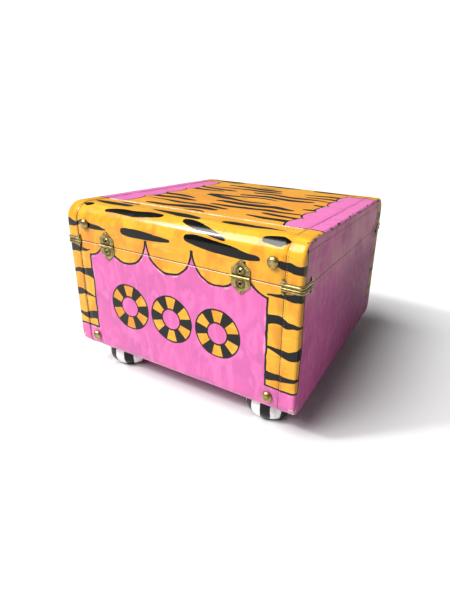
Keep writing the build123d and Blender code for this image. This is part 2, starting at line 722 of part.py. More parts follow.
for name, side in sides.items():
    x = side * catch_x
    rest_x = x - side * (lug_thickness / 2 + bolt_gap + bolt_tongue + slider_width / 2)

    # Pressed catch case with a slot for the lug and one for the button's neck
    with BuildPart() as catch_case:
        with BuildSketch(on_front(x, catch_mid)):
            RectangleRounded(catch_flange_width, catch_flange_height, catch_flange_corner)
        extrude(amount=catch_flange_thickness)
        with BuildSketch(on_front(x, catch_mid)):
            RectangleRounded(catch_box_width, catch_box_height, catch_box_corner)
        extrude(amount=catch_box_depth)
        chamfer(catch_case.faces().sort_by(Axis.Y)[0].edges(), catch_edge_bevel)
        with BuildSketch(on_front(x, catch_mid)):
            Rectangle(catch_box_width - 2 * catch_wall, catch_box_height - 2 * catch_wall)
        extrude(amount=inside_depth, mode=Mode.SUBTRACT)
        with BuildSketch(on_front(x, lug_level)):
            Rectangle(slot_width, slot_height)
        extrude(amount=catch_box_depth, mode=Mode.SUBTRACT)
        with BuildSketch(on_front(rest_x + side * button_travel / 2, button_level)):
            SlotCenterToCenter(button_travel, 2 * (button_neck_radius + button_clearance))
        extrude(amount=catch_box_depth, mode=Mode.SUBTRACT)
        drill(catch_rivet_seats, rivet_hole, catch_flange_thickness)
    finish(catch_case, f"catch_case_{name}")

    # Sliding button with its bolt, shown drawn back
    with BuildPart() as catch_button:
        with BuildSketch(on_front(rest_x, slider_level, slider_back)):
            Rectangle(slider_width, slider_length)
        extrude(amount=bolt_thickness)
        with BuildSketch(on_front(rest_x + side * (slider_width + bolt_tongue) / 2, lug_level, slider_back)):
            Rectangle(bolt_tongue, bolt_height)
        extrude(amount=bolt_thickness)
        with BuildSketch(on_front(rest_x, button_level, slider_back)):
            Circle(button_neck_radius)
        extrude(amount=catch_box_depth + button_clearance - slider_back)
        with BuildSketch(on_front(rest_x, button_level, catch_box_depth + button_clearance)):
            Circle(button_radius)
        extrude(amount=button_height)
        chamfer(catch_button.faces().sort_by(Axis.Y)[0].edges(), catch_edge_bevel)
    finish(catch_button, f"catch_button_{name}")

    # Plate on the lid with the two knuckles that hold the hasp's pin
    pivot = Plane.YZ.offset(x)
    pivot_point = (front_face - hasp_pivot_out, hasp_pivot_z)
    web_depth = hasp_pivot_out - lid_overhang
    with BuildPart() as hasp_plate:
        with BuildSketch(on_lid_front(x, hasp_plate_mid)):
            RectangleRounded(hasp_plate_width, hasp_plate_height, hasp_plate_corner)
        extrude(amount=hasp_plate_thickness)
        for way in (-1, 1):
            inner_end = way * (hasp_barrel_length / 2 + hasp_knuckle_gap)
            with BuildSketch(pivot.offset(inner_end)):
                with Locations(pivot_point):
                    Circle(hasp_barrel_radius)
                with Locations((lid_front - web_depth / 2, hasp_pivot_z)):
                    Rectangle(web_depth, 2 * hasp_barrel_radius)
            extrude(amount=way * hasp_knuckle_length)
        with BuildSketch(pivot):
            with Locations(pivot_point):
                Circle(hasp_pin_radius)
        extrude(amount=hasp_plate_width, both=True, mode=Mode.SUBTRACT)
        drill(hasp_rivet_seats, rivet_hole, hasp_plate_thickness)
    finish(hasp_plate, f"hasp_plate_{name}")

    pin_half = hasp_barrel_length / 2 + hasp_knuckle_gap + hasp_knuckle_length
    with BuildPart() as hasp_pin:
        with BuildSketch(pivot.offset(-pin_half)):
            with Locations(pivot_point):
                Circle(hasp_pin_radius)
        extrude(amount=2 * pin_half)
    finish(hasp_pin, f"hasp_pin_{name}")

    # Hasp, sprung open: its own Y runs up the plate from the pivot
    open_angle = math.radians(hasp_open_angle)
    hasp_plane = Plane(
        origin=(x, front_face - hasp_pivot_out, hasp_pivot_z),
        x_dir=(1, 0, 0),
        z_dir=(0, -math.cos(open_angle), math.sin(open_angle)),
    )
    with BuildPart() as hasp:
        with BuildSketch(hasp_plane.offset(-hasp_thickness / 2)):
            with BuildLine():
                half, tip_half = hasp_width / 2, hasp_tip_width / 2
                Polyline((0, 0), (half, 0), (half, -hasp_length / 2), (tip_half, -hasp_length), (0, -hasp_length))
                mirror(about=Plane.YZ)
            make_face()
        extrude(amount=hasp_thickness)
        through = Axis(hasp_plane.origin, hasp_plane.z_dir)
        fillet(hasp.edges().filter_by(through).group_by(Axis.Z)[0], hasp_tip_corner)
        with BuildSketch(hasp_plane.offset(-2 * hasp_barrel_radius)):
            for way in (-1, 1):
                with Locations((way * (half + hasp_barrel_length / 2) / 2, 0)):
                    Rectangle(
                        half - hasp_barrel_length / 2 + 2 * hasp_knuckle_gap, 2 * (hasp_barrel_radius + hasp_knuckle_gap)
                    )
        extrude(amount=4 * hasp_barrel_radius, mode=Mode.SUBTRACT)
        with BuildSketch(pivot.offset(-hasp_barrel_length / 2)):
            with Locations(pivot_point):
                Circle(hasp_barrel_radius)
        extrude(amount=hasp_barrel_length)
        with BuildSketch(pivot):
            with Locations(pivot_point):
                Circle(hasp_pin_radius + pin_clearance)
        extrude(amount=hasp_width, both=True, mode=Mode.SUBTRACT)
        with BuildSketch(hasp_plane.offset(hasp_thickness / 2)):
            with Locations((0, -hasp_length + thumb_lip_margin + thumb_lip_height / 2)):
                Rectangle(thumb_lip_width, thumb_lip_height)
        extrude(amount=thumb_lip_thickness)
        lug_plane = Plane(
            origin=hasp_plane.from_local_coords((-lug_thickness / 2, -lug_distance, -hasp_thickness / 2)),
            x_dir=hasp_plane.z_dir,
            z_dir=(1, 0, 0),
        )
        with BuildSketch(lug_plane):
            with Locations((-lug_reach / 2, 0)):
                Rectangle(lug_reach, lug_height)
            with Locations((-(eye_start + eye_end) / 2, 0)):
                Rectangle(eye_end - eye_start, eye_height, mode=Mode.SUBTRACT)
        extrude(amount=lug_thickness)
    finish(hasp, f"hasp_{name}")

catch_rivet = domed_rivet(rivet_head_radius, rivet_head_height, rivet_radius, catch_flange_thickness + shank_end)
rivet_group("catch_rivets_body", catch_rivet, catch_rivet_seats)
hasp_rivet = domed_rivet(rivet_head_radius, rivet_head_height, rivet_radius, hasp_plate_thickness + shank_end)
rivet_group("catch_rivets_lid", hasp_rivet, hasp_rivet_seats)
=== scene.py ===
import functools
import math

import bmesh
import bpy
from mathutils import Matrix, Vector, noise


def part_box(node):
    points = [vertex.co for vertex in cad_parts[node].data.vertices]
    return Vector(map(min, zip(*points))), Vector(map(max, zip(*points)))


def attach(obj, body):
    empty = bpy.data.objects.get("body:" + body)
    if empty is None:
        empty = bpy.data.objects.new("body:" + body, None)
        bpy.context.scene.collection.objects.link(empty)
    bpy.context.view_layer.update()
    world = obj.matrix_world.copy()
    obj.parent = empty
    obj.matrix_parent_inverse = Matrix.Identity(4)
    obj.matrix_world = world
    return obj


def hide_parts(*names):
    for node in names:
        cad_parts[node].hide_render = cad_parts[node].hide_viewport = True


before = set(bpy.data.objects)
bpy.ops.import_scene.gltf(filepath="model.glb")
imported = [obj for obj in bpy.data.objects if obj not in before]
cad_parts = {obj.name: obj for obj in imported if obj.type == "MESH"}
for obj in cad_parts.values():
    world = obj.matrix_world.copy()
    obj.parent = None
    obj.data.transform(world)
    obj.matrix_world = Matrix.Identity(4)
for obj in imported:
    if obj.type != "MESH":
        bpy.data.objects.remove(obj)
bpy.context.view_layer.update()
scene = bpy.context.scene

UP = Vector((0, 0, 1))
REARWARD = Vector((0, 1, 0))

# Sizes in millimetres, read from the CAD parts where they give them
MM = 0.001


def box_mm(node):
    """A node's lowest and highest corners in millimetres."""
    low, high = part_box(node)
    return low / MM, high / MM


body_low, body_high = box_mm("body_end_cover_right")
lid_low, lid_high = box_mm("lid_end_cover_right")
END, COVER_EDGE = lid_high.x, lid_low.x
HINGE_FACE, LID_FRONT, BODY_FRONT = lid_high.y, lid_low.y, body_low.y
LID_RIM, TOP = lid_low.z, lid_high.z
BOTTOM, BODY_RIM = body_low.z, body_high.z
LID_MIDDLE = (HINGE_FACE + LID_FRONT) / 2
HALF_DEPTH = (HINGE_FACE - LID_FRONT) / 2

TOP_ROLL = 20.0
BOTTOM_ROLL = 15.0
CORNER = 4.0
BOARD = 4.5
COVER = 1.0

# The hinges' tubular rivets, each a rolled head round an open bore
pin_low, pin_high = box_mm("hinge_pin_right")
eye_low, eye_high = box_mm("hinge_rivets_lid")
HINGE_X = (pin_low.x + pin_high.x) / 2
HINGE_LEVEL = (pin_low.z + pin_high.z) / 2
EYELET_OFFSET = (eye_low.z + eye_high.z) / 2 - HINGE_LEVEL
EYELET_RADIUS = 2.2
EYELET_NECK = 1.5
EYELET_BORE = 1.42
EYELET_ROLL = 0.45
EYELET_SEAT = 0.5
EYELET_STEPS = 8
EYELET_SEGMENTS = 32


# Node arithmetic
def node_operation(operation, swapped=False):
    """A method that joins a signal and another value in a math node."""

    def join(self, other):
        values = (other, self) if swapped else (self, other)
        return self.shader.math(operation, *values)

    return join


class Signal:
    """A value in a node tree that takes part in arithmetic."""

    __add__ = node_operation("ADD")
    __radd__ = node_operation("ADD", swapped=True)
    __sub__ = node_operation("SUBTRACT")
    __rsub__ = node_operation("SUBTRACT", swapped=True)
    __mul__ = node_operation("MULTIPLY")
    __rmul__ = node_operation("MULTIPLY", swapped=True)
    __truediv__ = node_operation("DIVIDE")

    def __init__(self, shader, socket):
        self.shader = shader
        self.socket = socket

    def __abs__(self):
        return self.shader.math("ABSOLUTE", self)


def srgb(red, green, blue):
    """A colour given as 0 to 255 display values, in linear light."""

    def linear(c):
        c = c / 255
        return c / 12.92 if c <= 0.04045 else ((c + 0.055) / 1.055) ** 2.4

    return (linear(red), linear(green), linear(blue), 1.0)


# How far a seed moves a noise along X, Y and Z, and the numbers of a mix node's colour sockets
SEED_STEPS = (7.31, 3.77, 5.13)
MIX_SHARE, MIX_FIRST, MIX_SECOND, MIX_RESULT = 0, 6, 7, 2


class Shader:
    """A material whose nodes work on the object's own coordinates, in millimetres."""

    def __init__(self, name):
        self.material = bpy.data.materials.new(name)
        self.material.use_nodes = True
        self.bsdf = self.material.node_tree.nodes["Principled BSDF"]
        metres = self.add("TexCoord", {}, "Object")
        self.place = self.add("VectorMath", {0: metres, "Scale": 1 / MM}, operation="SCALE")
        self.x, self.y, self.z = (self.add("SeparateXYZ", {0: self.place}, axis) for axis in "XYZ")

    def plug(self, value, socket):
        """Links a value to a socket, or sets it there if it is a constant."""
        if isinstance(value, Signal):
            self.material.node_tree.links.new(value.socket, socket)
        else:
            socket.default_value = value

    def add(self, kind, inputs, output=0, **settings):
        """A new node's output; inputs and output are given by name or by number."""
        node = self.material.node_tree.nodes.new(f"ShaderNode{kind}")
        for setting, value in settings.items():
            setattr(node, setting, value)
        for key, value in inputs.items():
            self.plug(value, node.inputs[key])
        return Signal(self, node.outputs[output])

    def math(self, operation, *values, clamp=False):
        return self.add("Math", dict(enumerate(values)), operation=operation, use_clamp=clamp)

    def low(self, *values):
        """The lowest of the values."""
        return functools.reduce(lambda a, b: self.math("MINIMUM", a, b), values)

    def high(self, *values):
        """The highest of the values."""
        return functools.reduce(lambda a, b: self.math("MAXIMUM", a, b), values)

    def length(self, a, b):
        return self.math("SQRT", a * a + b * b)

    def step(self, value, width=0.35):
        """0 outside and 1 inside an outline that is given as a distance, positive inside."""
        return self.math("MULTIPLY_ADD", value, 1 / width, 0.5, clamp=True)

    def ease(self, value, start, stop, low=0.0, high=1.0):
        """Goes smoothly from low to high while the value goes from start to stop."""
        inputs = dict(enumerate((value, start, stop, low, high)))
        return self.add("MapRange", inputs, interpolation_type="SMOOTHSTEP")

    def blend(self, share, a, b):
        """Value a where share is 0 and b where it is 1."""
        return a + (b - a) * share

    def noise(self, size, detail, seed, warp=0.0):
        """Soft noise from 0 to 1, with one size in millimetres or three; each noise has a seed of its own."""
        sizes = size if isinstance(size, tuple) else (size, size, size)
        shift = [seed * step for step in SEED_STEPS]
        scale = [1 / s for s in sizes]
        place = self.add("Mapping", {"Vector": self.place, "Location": shift, "Scale": scale})
        return self.add("TexNoise", {"Vector": place, "Scale": 1.0, "Detail": detail, "Distortion": warp})

    def waver(self, size, detail, seed, width):
        """Soft noise about 0 that is that wide in all."""
        return (self.noise(size, detail, seed) - 0.5) * width

    def patches(self, size, detail, seed, start, stop, warp=0.0):
        """Soft patches of noise: 0 where the noise is under start and 1 where it is over stop."""
        return self.ease(self.noise(size, detail, seed, warp), start, stop)

    def random(self, a, b):
        """An even random value from 0 to 1 for each pair of whole numbers."""
        pair = self.add("CombineXYZ", {"X": a, "Y": b})
        return self.add("TexWhiteNoise", {"Vector": pair}, noise_dimensions="2D")

    def stray(self, a, b, width):
        """A random value about 0 for each pair of whole numbers, that wide in all."""
        return (self.random(a, b) - 0.5) * width

    def mix(self, share, a, b):
        """Colour a where share is 0 and colour b where it is 1."""
        return self.add("Mix", {MIX_SHARE: share, MIX_FIRST: a, MIX_SECOND: b}, MIX_RESULT, data_type="RGBA")

    def shade(self, colour, roughness, height=0.0, **others):
        """Sets the surface's colour, roughness and relief in millimetres, and its other values by name."""
        bump = self.add("Bump", {"Distance": MM, "Height": height})
        values = {"Base Color": colour, "Roughness": roughness, "Normal": bump}
        values.update((name.replace("_", " "), value) for name, value in others.items())
        for name, value in values.items():
            self.plug(value, self.bsdf.inputs[name])
        return self.material


# Paint colours
PINK = srgb(206, 96, 160)
PINK_HOT = srgb(222, 110, 172)
PINK_LILAC = srgb(184, 94, 152)
# Painted light on the top: a paler pink there
PINK_TOP_LIT = srgb(240, 132, 196)
YELLOW = srgb(218, 160, 40)
YELLOW_PALE = srgb(232, 186, 74)
ORANGE = srgb(208, 128, 34)
ORANGE_DEEP = srgb(190, 106, 22)
# Painted light on the top: a brighter orange there
ORANGE_TOP_LIT = srgb(240, 162, 50)
BLACK = srgb(3, 3, 3)
BLACK_WARM = srgb(30, 23, 21)
CREAM = srgb(232, 216, 196)
# A painted sheen: grey reflection over the ends' upper part
END_SHEEN = srgb(182, 162, 126)
# Painted shade on the ends
PLUM_SHADE = srgb(58, 6, 28)
SEAM_DARK = srgb(62, 22, 38)

# Layout of the painted pattern
SCALLOP_PITCH = 61.0
SCALLOP_RADIUS = 30.0
SCALLOP_LEVEL = 188.0
BAND_WIDTH = 34.5
BAND_FOOT = 62.0
BAND_ON_END_REAR = 6.0
BAND_ON_END_FRONT = 30.0
END_STARTS = END - CORNER * 0.3
TOP_BLEND = 6.0
PANEL_EDGE = 114.0
PANEL_SCALLOP = 21.5
PANEL_BULGE = 9.0
PANEL_REAR = 105.5
PANEL_FRONT = -112.0
RING_LEVEL = 104.0
RING_RADIUS = 20.0
RING_HALF = 7.5
RING_BARS = 6.0
RING_BAR_EDGE = 3.5
OUTLINE_HALF = 1.2
OUTLINE_UNEVEN = 1.1
RING_OUTLINE_SHARE = 0.75
HALO = 3.3

# Bars across the corner bands: their middles, thickness, slope, bend and clearances
BAR_PITCH = 29.0
BAR_HALF = 5.4
BAR_TIP_SHARE = 0.15
BAR_SLOPE = 14.0
BAR_BEND = 14.0
BAR_OVER_FOOT = 6.0
BAR_OVER_EDGE = 1.0

# Rows of strokes; each pair gives where they are gone and where they are whole, on the way down or across
TOP_STROKES = {"pitch": 20.0, "cell_length": 150.0, "half_width": 7.8, "seed": 11.0}
ROLL_STROKES = {"pitch": 19.5, "cell_length": 96.0, "half_width": 7.2, "seed": 37.0}
TOP_STROKES_STOP = (106.0, 96.0)
ROLL_STROKES_START = (111.0, 117.0)
ROLL_STROKES_STOP = (178.0, 168.0)
ROLL_STROKES_EDGE = (COVER_EDGE + 4.0, COVER_EDGE - 10.0)
ROW_SWAY = 27.0
FIELD_INSET = 0.6

# One stroke's form: its length and tilt as shares, and in millimetres what its outline and its tip give away
STROKE_REACH = (0.62, 0.98)
STROKE_FULLNESS = (0.55, 1.0)
STROKE_LEAN = 1.3
STROKE_BLUNTNESS = 0.38
STROKE_SHIFT = 0.25
STROKE_TILT = 0.7
STROKE_TIP = 0.12
STROKE_INSET = 0.25
STROKE_TIP_INSET = 2.5
ROW_STAGGER = 9.0
ROW_KEY = 13.0

# Changes of colour over the case, some of them painted light and shade; each pair gives where a change starts
# and where it is complete
ORANGE_RISE = (110.0, 60.0)
# Painted light on the top, fading out over the roll
TOP_LIT_YELLOW = (122.0, 104.0)
SPECKS_FADE = (105.0, 45.0)
# The painted sheen on the ends, rising with height
END_SHEEN_RISE = (130.0, 190.0)
# The painted shade on the ends, deepening away from the hinge side
ENDS_SHADE_DEEPENS = (HINGE_FACE - 15.0, -70.0)

# Lines and wear on the paint, and the painted highlight and shade at the parting line
HEM_LINE_HALF = 0.42
END_LINE_HALF = 0.35
END_LINE_LEVEL = TOP - 9.5
LINE_DEPTH = 0.2
# Widths of the painted highlight along the body's rim and of the painted shade in the parting gap
PALE_RIM = 0.5
DARK_RIM = 0.75
RIM_SPILL = 0.3
FADED_HEIGHT = 7.0
SCUFF_HEIGHT = 16.0
SCUFF_WIDTH = 8.0


def from_eyelet(look):
    """The distance from the nearest hinge eyelet's middle, over the hinge side."""
    return look.length(abs(look.x) - HINGE_X, abs(look.z - HINGE_LEVEL) - EYELET_OFFSET)


class Paint(Shader):
    """The whole hand-painted surface: pink ground, yellow fields with black strokes, rings and outlines."""

    def __init__(self, name):
        super().__init__(name)
        self.side = abs(self.x)
        self.off_middle = abs(self.y - LID_MIDDLE)
        self.on_end = self.step(self.side - END_STARTS, 0.2)
        self.not_end = 1.0 - self.on_end
        self.on_top = self.ease(self.z, TOP - TOP_BLEND, TOP)
        self.down = self.way_down()
        self.hand = self.waver(30, 2, 1, 5.5) + self.waver(6, 2, 2, 1.3)
        self.bands = self.low(self.side - (END - BAND_WIDTH), self.z - BAND_FOOT)
        self.wrap = self.blend(self.step(self.y), BAND_ON_END_FRONT, BAND_ON_END_REAR)
        self.end_bands = self.low(self.off_middle - HALF_DEPTH + self.wrap, self.z - BAND_FOOT)
        self.field = self.yellow_field()
        self.in_field = self.step(self.field)
        self.ring, ring_bars = self.rings()
        self.in_ring = self.step(self.ring) * self.not_end
        self.in_black = self.blacks(ring_bars * self.in_ring)
        self.hem_line = self.hem()
        self.end_line = self.on_end * self.step(END_LINE_HALF - abs(self.z - END_LINE_LEVEL), 0.3)

    def way_down(self):
        """The way over the roll and down the long sides, measured from the middle of the top."""
        flat = HALF_DEPTH - TOP_ROLL
        level = TOP - TOP_ROLL
        turn = self.math("ARCTAN2", self.high(self.off_middle - flat, 0.0), self.high(self.z - level, 0.0))
        return self.low(self.off_middle, flat) + TOP_ROLL * turn + self.high(level - self.z, 0.0)

    def yellow_field(self):
        """The yellow fields with their scalloped and banded edges, as a distance that is positive inside."""
        fold = self.math("PINGPONG", self.x, SCALLOP_PITCH / 2)
        drop = self.z - SCALLOP_LEVEL
        scallops = self.high(drop, SCALLOP_RADIUS - self.length(fold, drop))
        wave = self.math("PINGPONG", self.y, PANEL_SCALLOP) / PANEL_SCALLOP
        bulge = PANEL_BULGE * self.math("SQRT", self.high(1.0 - wave * wave, 0.0))
        off_panels = self.high(PANEL_EDGE - bulge - self.side, self.y - PANEL_REAR, PANEL_FRONT - self.y)
        long_sides = self.low(self.high(scallops, self.bands), off_panels)
        return self.blend(self.on_end, long_sides, self.end_bands) + self.hand

    def rings(self):
        """Three rings on the ground of each long side, as a distance, and the bars that cross them."""
        across = self.low(self.side, abs(self.side - SCALLOP_PITCH))
        above = self.z - RING_LEVEL
        ring = RING_HALF - abs(self.length(across, above) - RING_RADIUS) + self.hand * 0.35
        angle = self.math("ARCTAN2", above, across)
        bars = self.step(self.math("COSINE", angle * RING_BARS) * RING_BAR_EDGE + self.hand * 0.3)
        return ring, bars

    def brush_strokes(self, across, fade, pitch, cell_length, half_width, seed):
        """Tapered strokes along X in rows, as a distance; they thin out where fade is low."""
        row = self.math("FLOOR", across / pitch)
        offset = across - (row + 0.5) * pitch
        run = self.x / cell_length + self.random(row, seed) * ROW_STAGGER
        cell = self.math("FLOOR", run)
        key = row * ROW_KEY + cell
        place = (run - cell - 0.5) * 2.0
        spot = place / self.blend(self.random(key, seed + 1.0), *STROKE_REACH)
        lean = self.stray(key, seed + 2.0, STROKE_LEAN)
        body = self.high(1.0 - spot * spot, 0.0)
        fullness = (1.0 + lean * spot) * self.blend(self.random(key, seed + 3.0), *STROKE_FULLNESS)
        width = half_width * self.math("POWER", body, STROKE_BLUNTNESS) * fullness * fade
        shift = self.stray(key, seed + 4.0, pitch * STROKE_SHIFT)
        shift = shift + self.stray(key, seed + 5.0, pitch * STROKE_TILT) * spot
        tip = 1.0 - self.ease(body * fade, 0.0, STROKE_TIP)
        return width - abs(offset - shift) - STROKE_INSET - tip * STROKE_TIP_INSET

    def stroke_rows(self):
        """The rows of strokes on the top and over the roll, as a distance."""
        sway = self.waver((66, 90, 90), 1, 5, ROW_SWAY)
        top_fade = self.ease(self.down, *TOP_STROKES_STOP)
        roll_fade = self.ease(self.down, *ROLL_STROKES_START) * self.ease(self.down, *ROLL_STROKES_STOP)
        roll_fade = roll_fade * self.ease(self.side, *ROLL_STROKES_EDGE)
        top = self.brush_strokes(self.down + sway, top_fade, **TOP_STROKES)
        roll = self.brush_strokes(self.down + sway * 0.5, roll_fade, **ROLL_STROKES)
        return self.high(top, roll)

    def band_bars(self, ragged):
        """Bars across the corner bands, as a distance; they taper to one side and the other by turns."""
        level = self.z - BAND_FOOT
        row = self.math("FLOOR", level / BAR_PITCH)
        offset = level - (row + 0.5) * BAR_PITCH
        from_end = BAND_WIDTH + HALF_DEPTH - self.off_middle
        reach = self.blend(self.on_end, self.side - (END - BAND_WIDTH), from_end)
        share = reach / (self.wrap + BAND_WIDTH)
        above = self.step(self.z - SCALLOP_LEVEL + BAR_PITCH / 3)
        flip = self.high(self.math("PINGPONG", row, 1.0), above)
        taper = self.blend(flip, 1.0 - share, share)
        slope = self.stray(row, 3.0, BAR_SLOPE) * (share - 0.5)
        bend = self.waver((24, 24, 50), 1, 28, BAR_BEND)
        bars = BAR_HALF * (BAR_TIP_SHARE + taper) - abs(offset + slope + bend + self.hand * 0.5) + ragged
        band = self.blend(self.on_end, self.bands, self.end_bands) + BAR_OVER_EDGE
        return self.low(bars, level - BAR_OVER_FOOT, band, TOP - TOP_ROLL / 2 - self.z)

    def blacks(self, ring_bars):
        """1 where the paint is black: outlines, strokes, and bars on the bands and rings."""
        ragged = self.waver((14, 4, 4), 2, 6, 1.4) + self.waver((34, 9, 9), 1, 7, 2.6)
        strokes = self.high(self.stroke_rows() + ragged, self.band_bars(ragged))
        strokes = self.high(self.step(strokes) * self.step(self.field - FIELD_INSET), ring_bars)
        width = OUTLINE_HALF + self.waver(22, 2, 8, OUTLINE_UNEVEN)
        outline = self.step(width - abs(self.field))
        ring_outline = self.step(width * RING_OUTLINE_SHARE - abs(self.ring)) * self.not_end
        return self.high(outline, ring_outline, strokes)

    def hem(self):
        """The dark, broken line along the edge of each end's covering."""
        line = self.step(HEM_LINE_HALF - abs(self.side - COVER_EDGE), 0.3)
        return line * self.patches((20, 20, 12), 2, 24, 0.30, 0.50) * self.not_end

    def pink_ground(self):
        """Pinks in swirls and streaks, a pale edge beyond the outlines, and on the top painted light: paler,
        less lilac pink.
        """
        swirl = self.patches(58, 2, 12, 0.42, 0.70, warp=1.3)
        streaks = self.noise((17, 17, 44), 3, 13, warp=1.8)
        cross_streaks = self.noise((60, 9, 9), 3, 14, warp=0.6)
        grain = self.blend(self.on_top, streaks, cross_streaks)
        # Less lilac on the top, part of the painted light there
        pink = self.mix(swirl * self.blend(self.on_top, 0.7, 0.3), PINK, PINK_LILAC)
        pink = self.mix(self.ease(grain, 0.46, 0.70), pink, PINK_HOT)
        pink = self.mix(self.patches((24, 24, 40), 3, 15, 0.52, 0.80, warp=1.2) * 0.35, pink, PINK_LILAC)
        halo = self.step(HALO + self.field) * (1.0 - self.in_field)
        halo = halo * self.patches((7, 7, 24), 3, 9, 0.46, 0.72)
        pink = self.mix(halo * 0.38, pink, CREAM)
        # Painted light: the top turns paler pink
        return self.mix(self.on_top * 0.5, pink, PINK_TOP_LIT)

    def yellow_ground(self):
        """Yellows that turn to orange towards the top, in streaks, with painted light on the top: a brighter
        orange.
        """
        orange = self.ease(self.noise(80, 1, 16) + self.ease(self.down, *ORANGE_RISE) * 0.28, 0.45, 0.75)
        yellow = self.mix(orange * 0.8, YELLOW, ORANGE)
        yellow = self.mix(self.patches((46, 8, 8), 3, 17, 0.50, 0.72) * 0.55, yellow, YELLOW_PALE)
        yellow = self.mix(self.patches((36, 5, 5), 3, 18, 0.58, 0.80) * 0.45, yellow, ORANGE_DEEP)
        upright = self.patches((15, 15, 42), 3, 29, 0.42, 0.66, warp=0.8) * (1.0 - self.on_top)
        yellow = self.mix(upright * 0.7, yellow, ORANGE)
        # Painted light on the top: the yellow turns a brighter orange
        top_lit = self.on_top * self.ease(self.down, *TOP_LIT_YELLOW)
        return self.mix(top_lit * 0.5, yellow, ORANGE_TOP_LIT)

    def black_paint(self):
        """Black that lets a little brown through where it is thin."""
        thin = self.patches((16, 2.2, 2.2), 3, 19, 0.66, 0.86)
        return self.mix(thin * 0.7, BLACK, BLACK_WARM)

    def rims(self, colour):
        """A pale rim under the parting line, part worn paint and part painted highlight, and painted shade in
        the gap above it.
        """
        below = BODY_RIM - self.z
        chipped = self.noise((14, 14, 3), 3, 21)
        # pale: part worn paint, part painted highlight on the rim's edge
        pale = self.step(PALE_RIM - below + (chipped - 0.5) * 0.6) * self.step(below + RIM_SPILL)
        pale = pale * self.step(chipped - 0.30, 0.1)
        colour = self.mix(pale * 0.5, colour, CREAM)
        above = self.z - LID_RIM
        # dark: painted shade in the parting gap
        dark = self.step(DARK_RIM - above, 0.5) * self.step(above + RIM_SPILL)
        return self.mix(dark * 0.8, colour, SEAM_DARK)

    def wear(self, colour):
        """Chips on the ends' top edges, a faded lower edge, specks low down and scuffed lower corners."""
        arris = self.low(self.side - (END - CORNER), self.z - (TOP - CORNER))
        chips = self.step(arris - 0.6, 0.5) * self.step(self.noise((3, 7, 3), 3, 22) - 0.58, 0.05)
        colour = self.mix(chips, colour, BLACK)
        faded = self.step(BOTTOM + FADED_HEIGHT - self.z, 3.0) * self.patches((9, 9, 5), 4, 23, 0.55, 0.75)
        colour = self.mix(faded * 0.6, colour, PINK_LILAC)
        specks = self.step(self.noise((4, 4, 2.2), 2, 36) - 0.71, 0.05) * self.patches(40, 2, 37, 0.45, 0.6)
        colour = self.mix(specks * self.ease(self.z, *SPECKS_FADE) * 0.55, colour, SEAM_DARK)
        from_corner = self.low(self.side - END, self.off_middle - HALF_DEPTH) + SCUFF_WIDTH
        corner = self.low(BOTTOM + SCUFF_HEIGHT - self.z, from_corner)
        scuff = self.step(corner + self.waver(4, 3, 25, 14.0) - 1.5, 0.8)
        bared = self.mix(self.step(self.noise(2.2, 2, 26) - 0.54, 0.05), CREAM, SEAM_DARK)
        return self.mix(scuff * 0.5, colour, bared)

    def paint_end_shade_and_sheen(self, colour):
        """The ends' painted shade, plum that deepens away from the hinge side, and a painted grey sheen over
        their upper part.
        """
        # sheen: painted grey reflection on the ends' upper part
        sheen = self.ease(self.z, *END_SHEEN_RISE) * self.patches((40, 46, 30), 3, 27, 0.26, 0.62)
        depth = self.ease(self.y, *ENDS_SHADE_DEEPENS)
        # Painted shade: plum mixed into the ends, deeper away from the hinge side
        end_shade = self.on_end * (1.0 - self.in_black) * self.blend(sheen, 0.34 + depth * 0.30, 0.26)
        colour = self.mix(end_shade, colour, PLUM_SHADE)
        return self.mix(self.on_end * sheen * 0.34, colour, END_SHEEN)

    def seams(self, colour):
        """Painted shade, black, behind the eyelets' open bores, and the lines along the hems and near the
        ends' top edges.
        """
        # Painted shade: black on the board where the eyelets' bores open
        bore_shade = self.step(EYELET_BORE + 0.3 - from_eyelet(self)) * self.step(self.y)
        colour = self.mix(bore_shade, colour, BLACK)
        colour = self.mix(self.hem_line * 0.75, colour, SEAM_DARK)
        return self.mix(self.end_line * 0.7, colour, SEAM_DARK)

    def height(self):
        """The brush's ridges, the lumps of the covering, the thicker paints and the sunken lines."""
        ridges = self.noise((34, 1.7, 1.7), 3, 31) * 0.13 + self.noise((3.2, 3.2, 46), 3, 32) * 0.06
        lumps = self.noise(17, 2, 33) * 0.5 + self.noise(5, 2, 34) * 0.10
        coats = self.in_black * 0.07 + self.in_field * 0.05
        return ridges + lumps + coats - self.end_line * LINE_DEPTH - self.hem_line * LINE_DEPTH

    def finish(self):
        """The finished material: the grounds, the black over them, then what age has done, and painted shade,
        sheen and highlight.
        """
        in_yellow = self.high(self.in_field, self.in_ring)
        colour = self.mix(in_yellow, self.pink_ground(), self.yellow_ground())
        colour = self.mix(self.in_black, colour, self.black_paint())
        # Wear and age, and the painted shade, sheen and highlight
        for coat in (self.rims, self.wear, self.paint_end_shade_and_sheen, self.seams):
            colour = coat(colour)
        rough = self.ease(self.noise(9, 4, 35), 0.25, 0.75, 0.24, 0.44)
        rough = rough - self.in_black * 0.05 + self.on_end * 0.25
        varnish = {"Coat_Weight": self.blend(self.on_end, 0.5, 0.05), "Coat_Roughness": 0.15}
        return self.shade(colour, rough, self.height(), Specular_IOR_Level=0.09, **varnish)


# Colours of the other materials
BOARD_TAN = srgb(168, 132, 92)
BOARD_BROWN = srgb(120, 88, 58)
PAINT_RUN = srgb(226, 130, 186)
BRASS_WORN = srgb(172, 153, 97)
BRASS_BROWN = srgb(120, 102, 57)
# Painted shade and tarnish in the brass's recesses
BRASS_RECESS = srgb(30, 22, 10)
BRASS_RUBBED = srgb(236, 222, 170)
# Painted shade and tarnish in the hollows round the hinges' eyelets
HINGE_SHADE_AND_TARNISH = srgb(58, 46, 24)
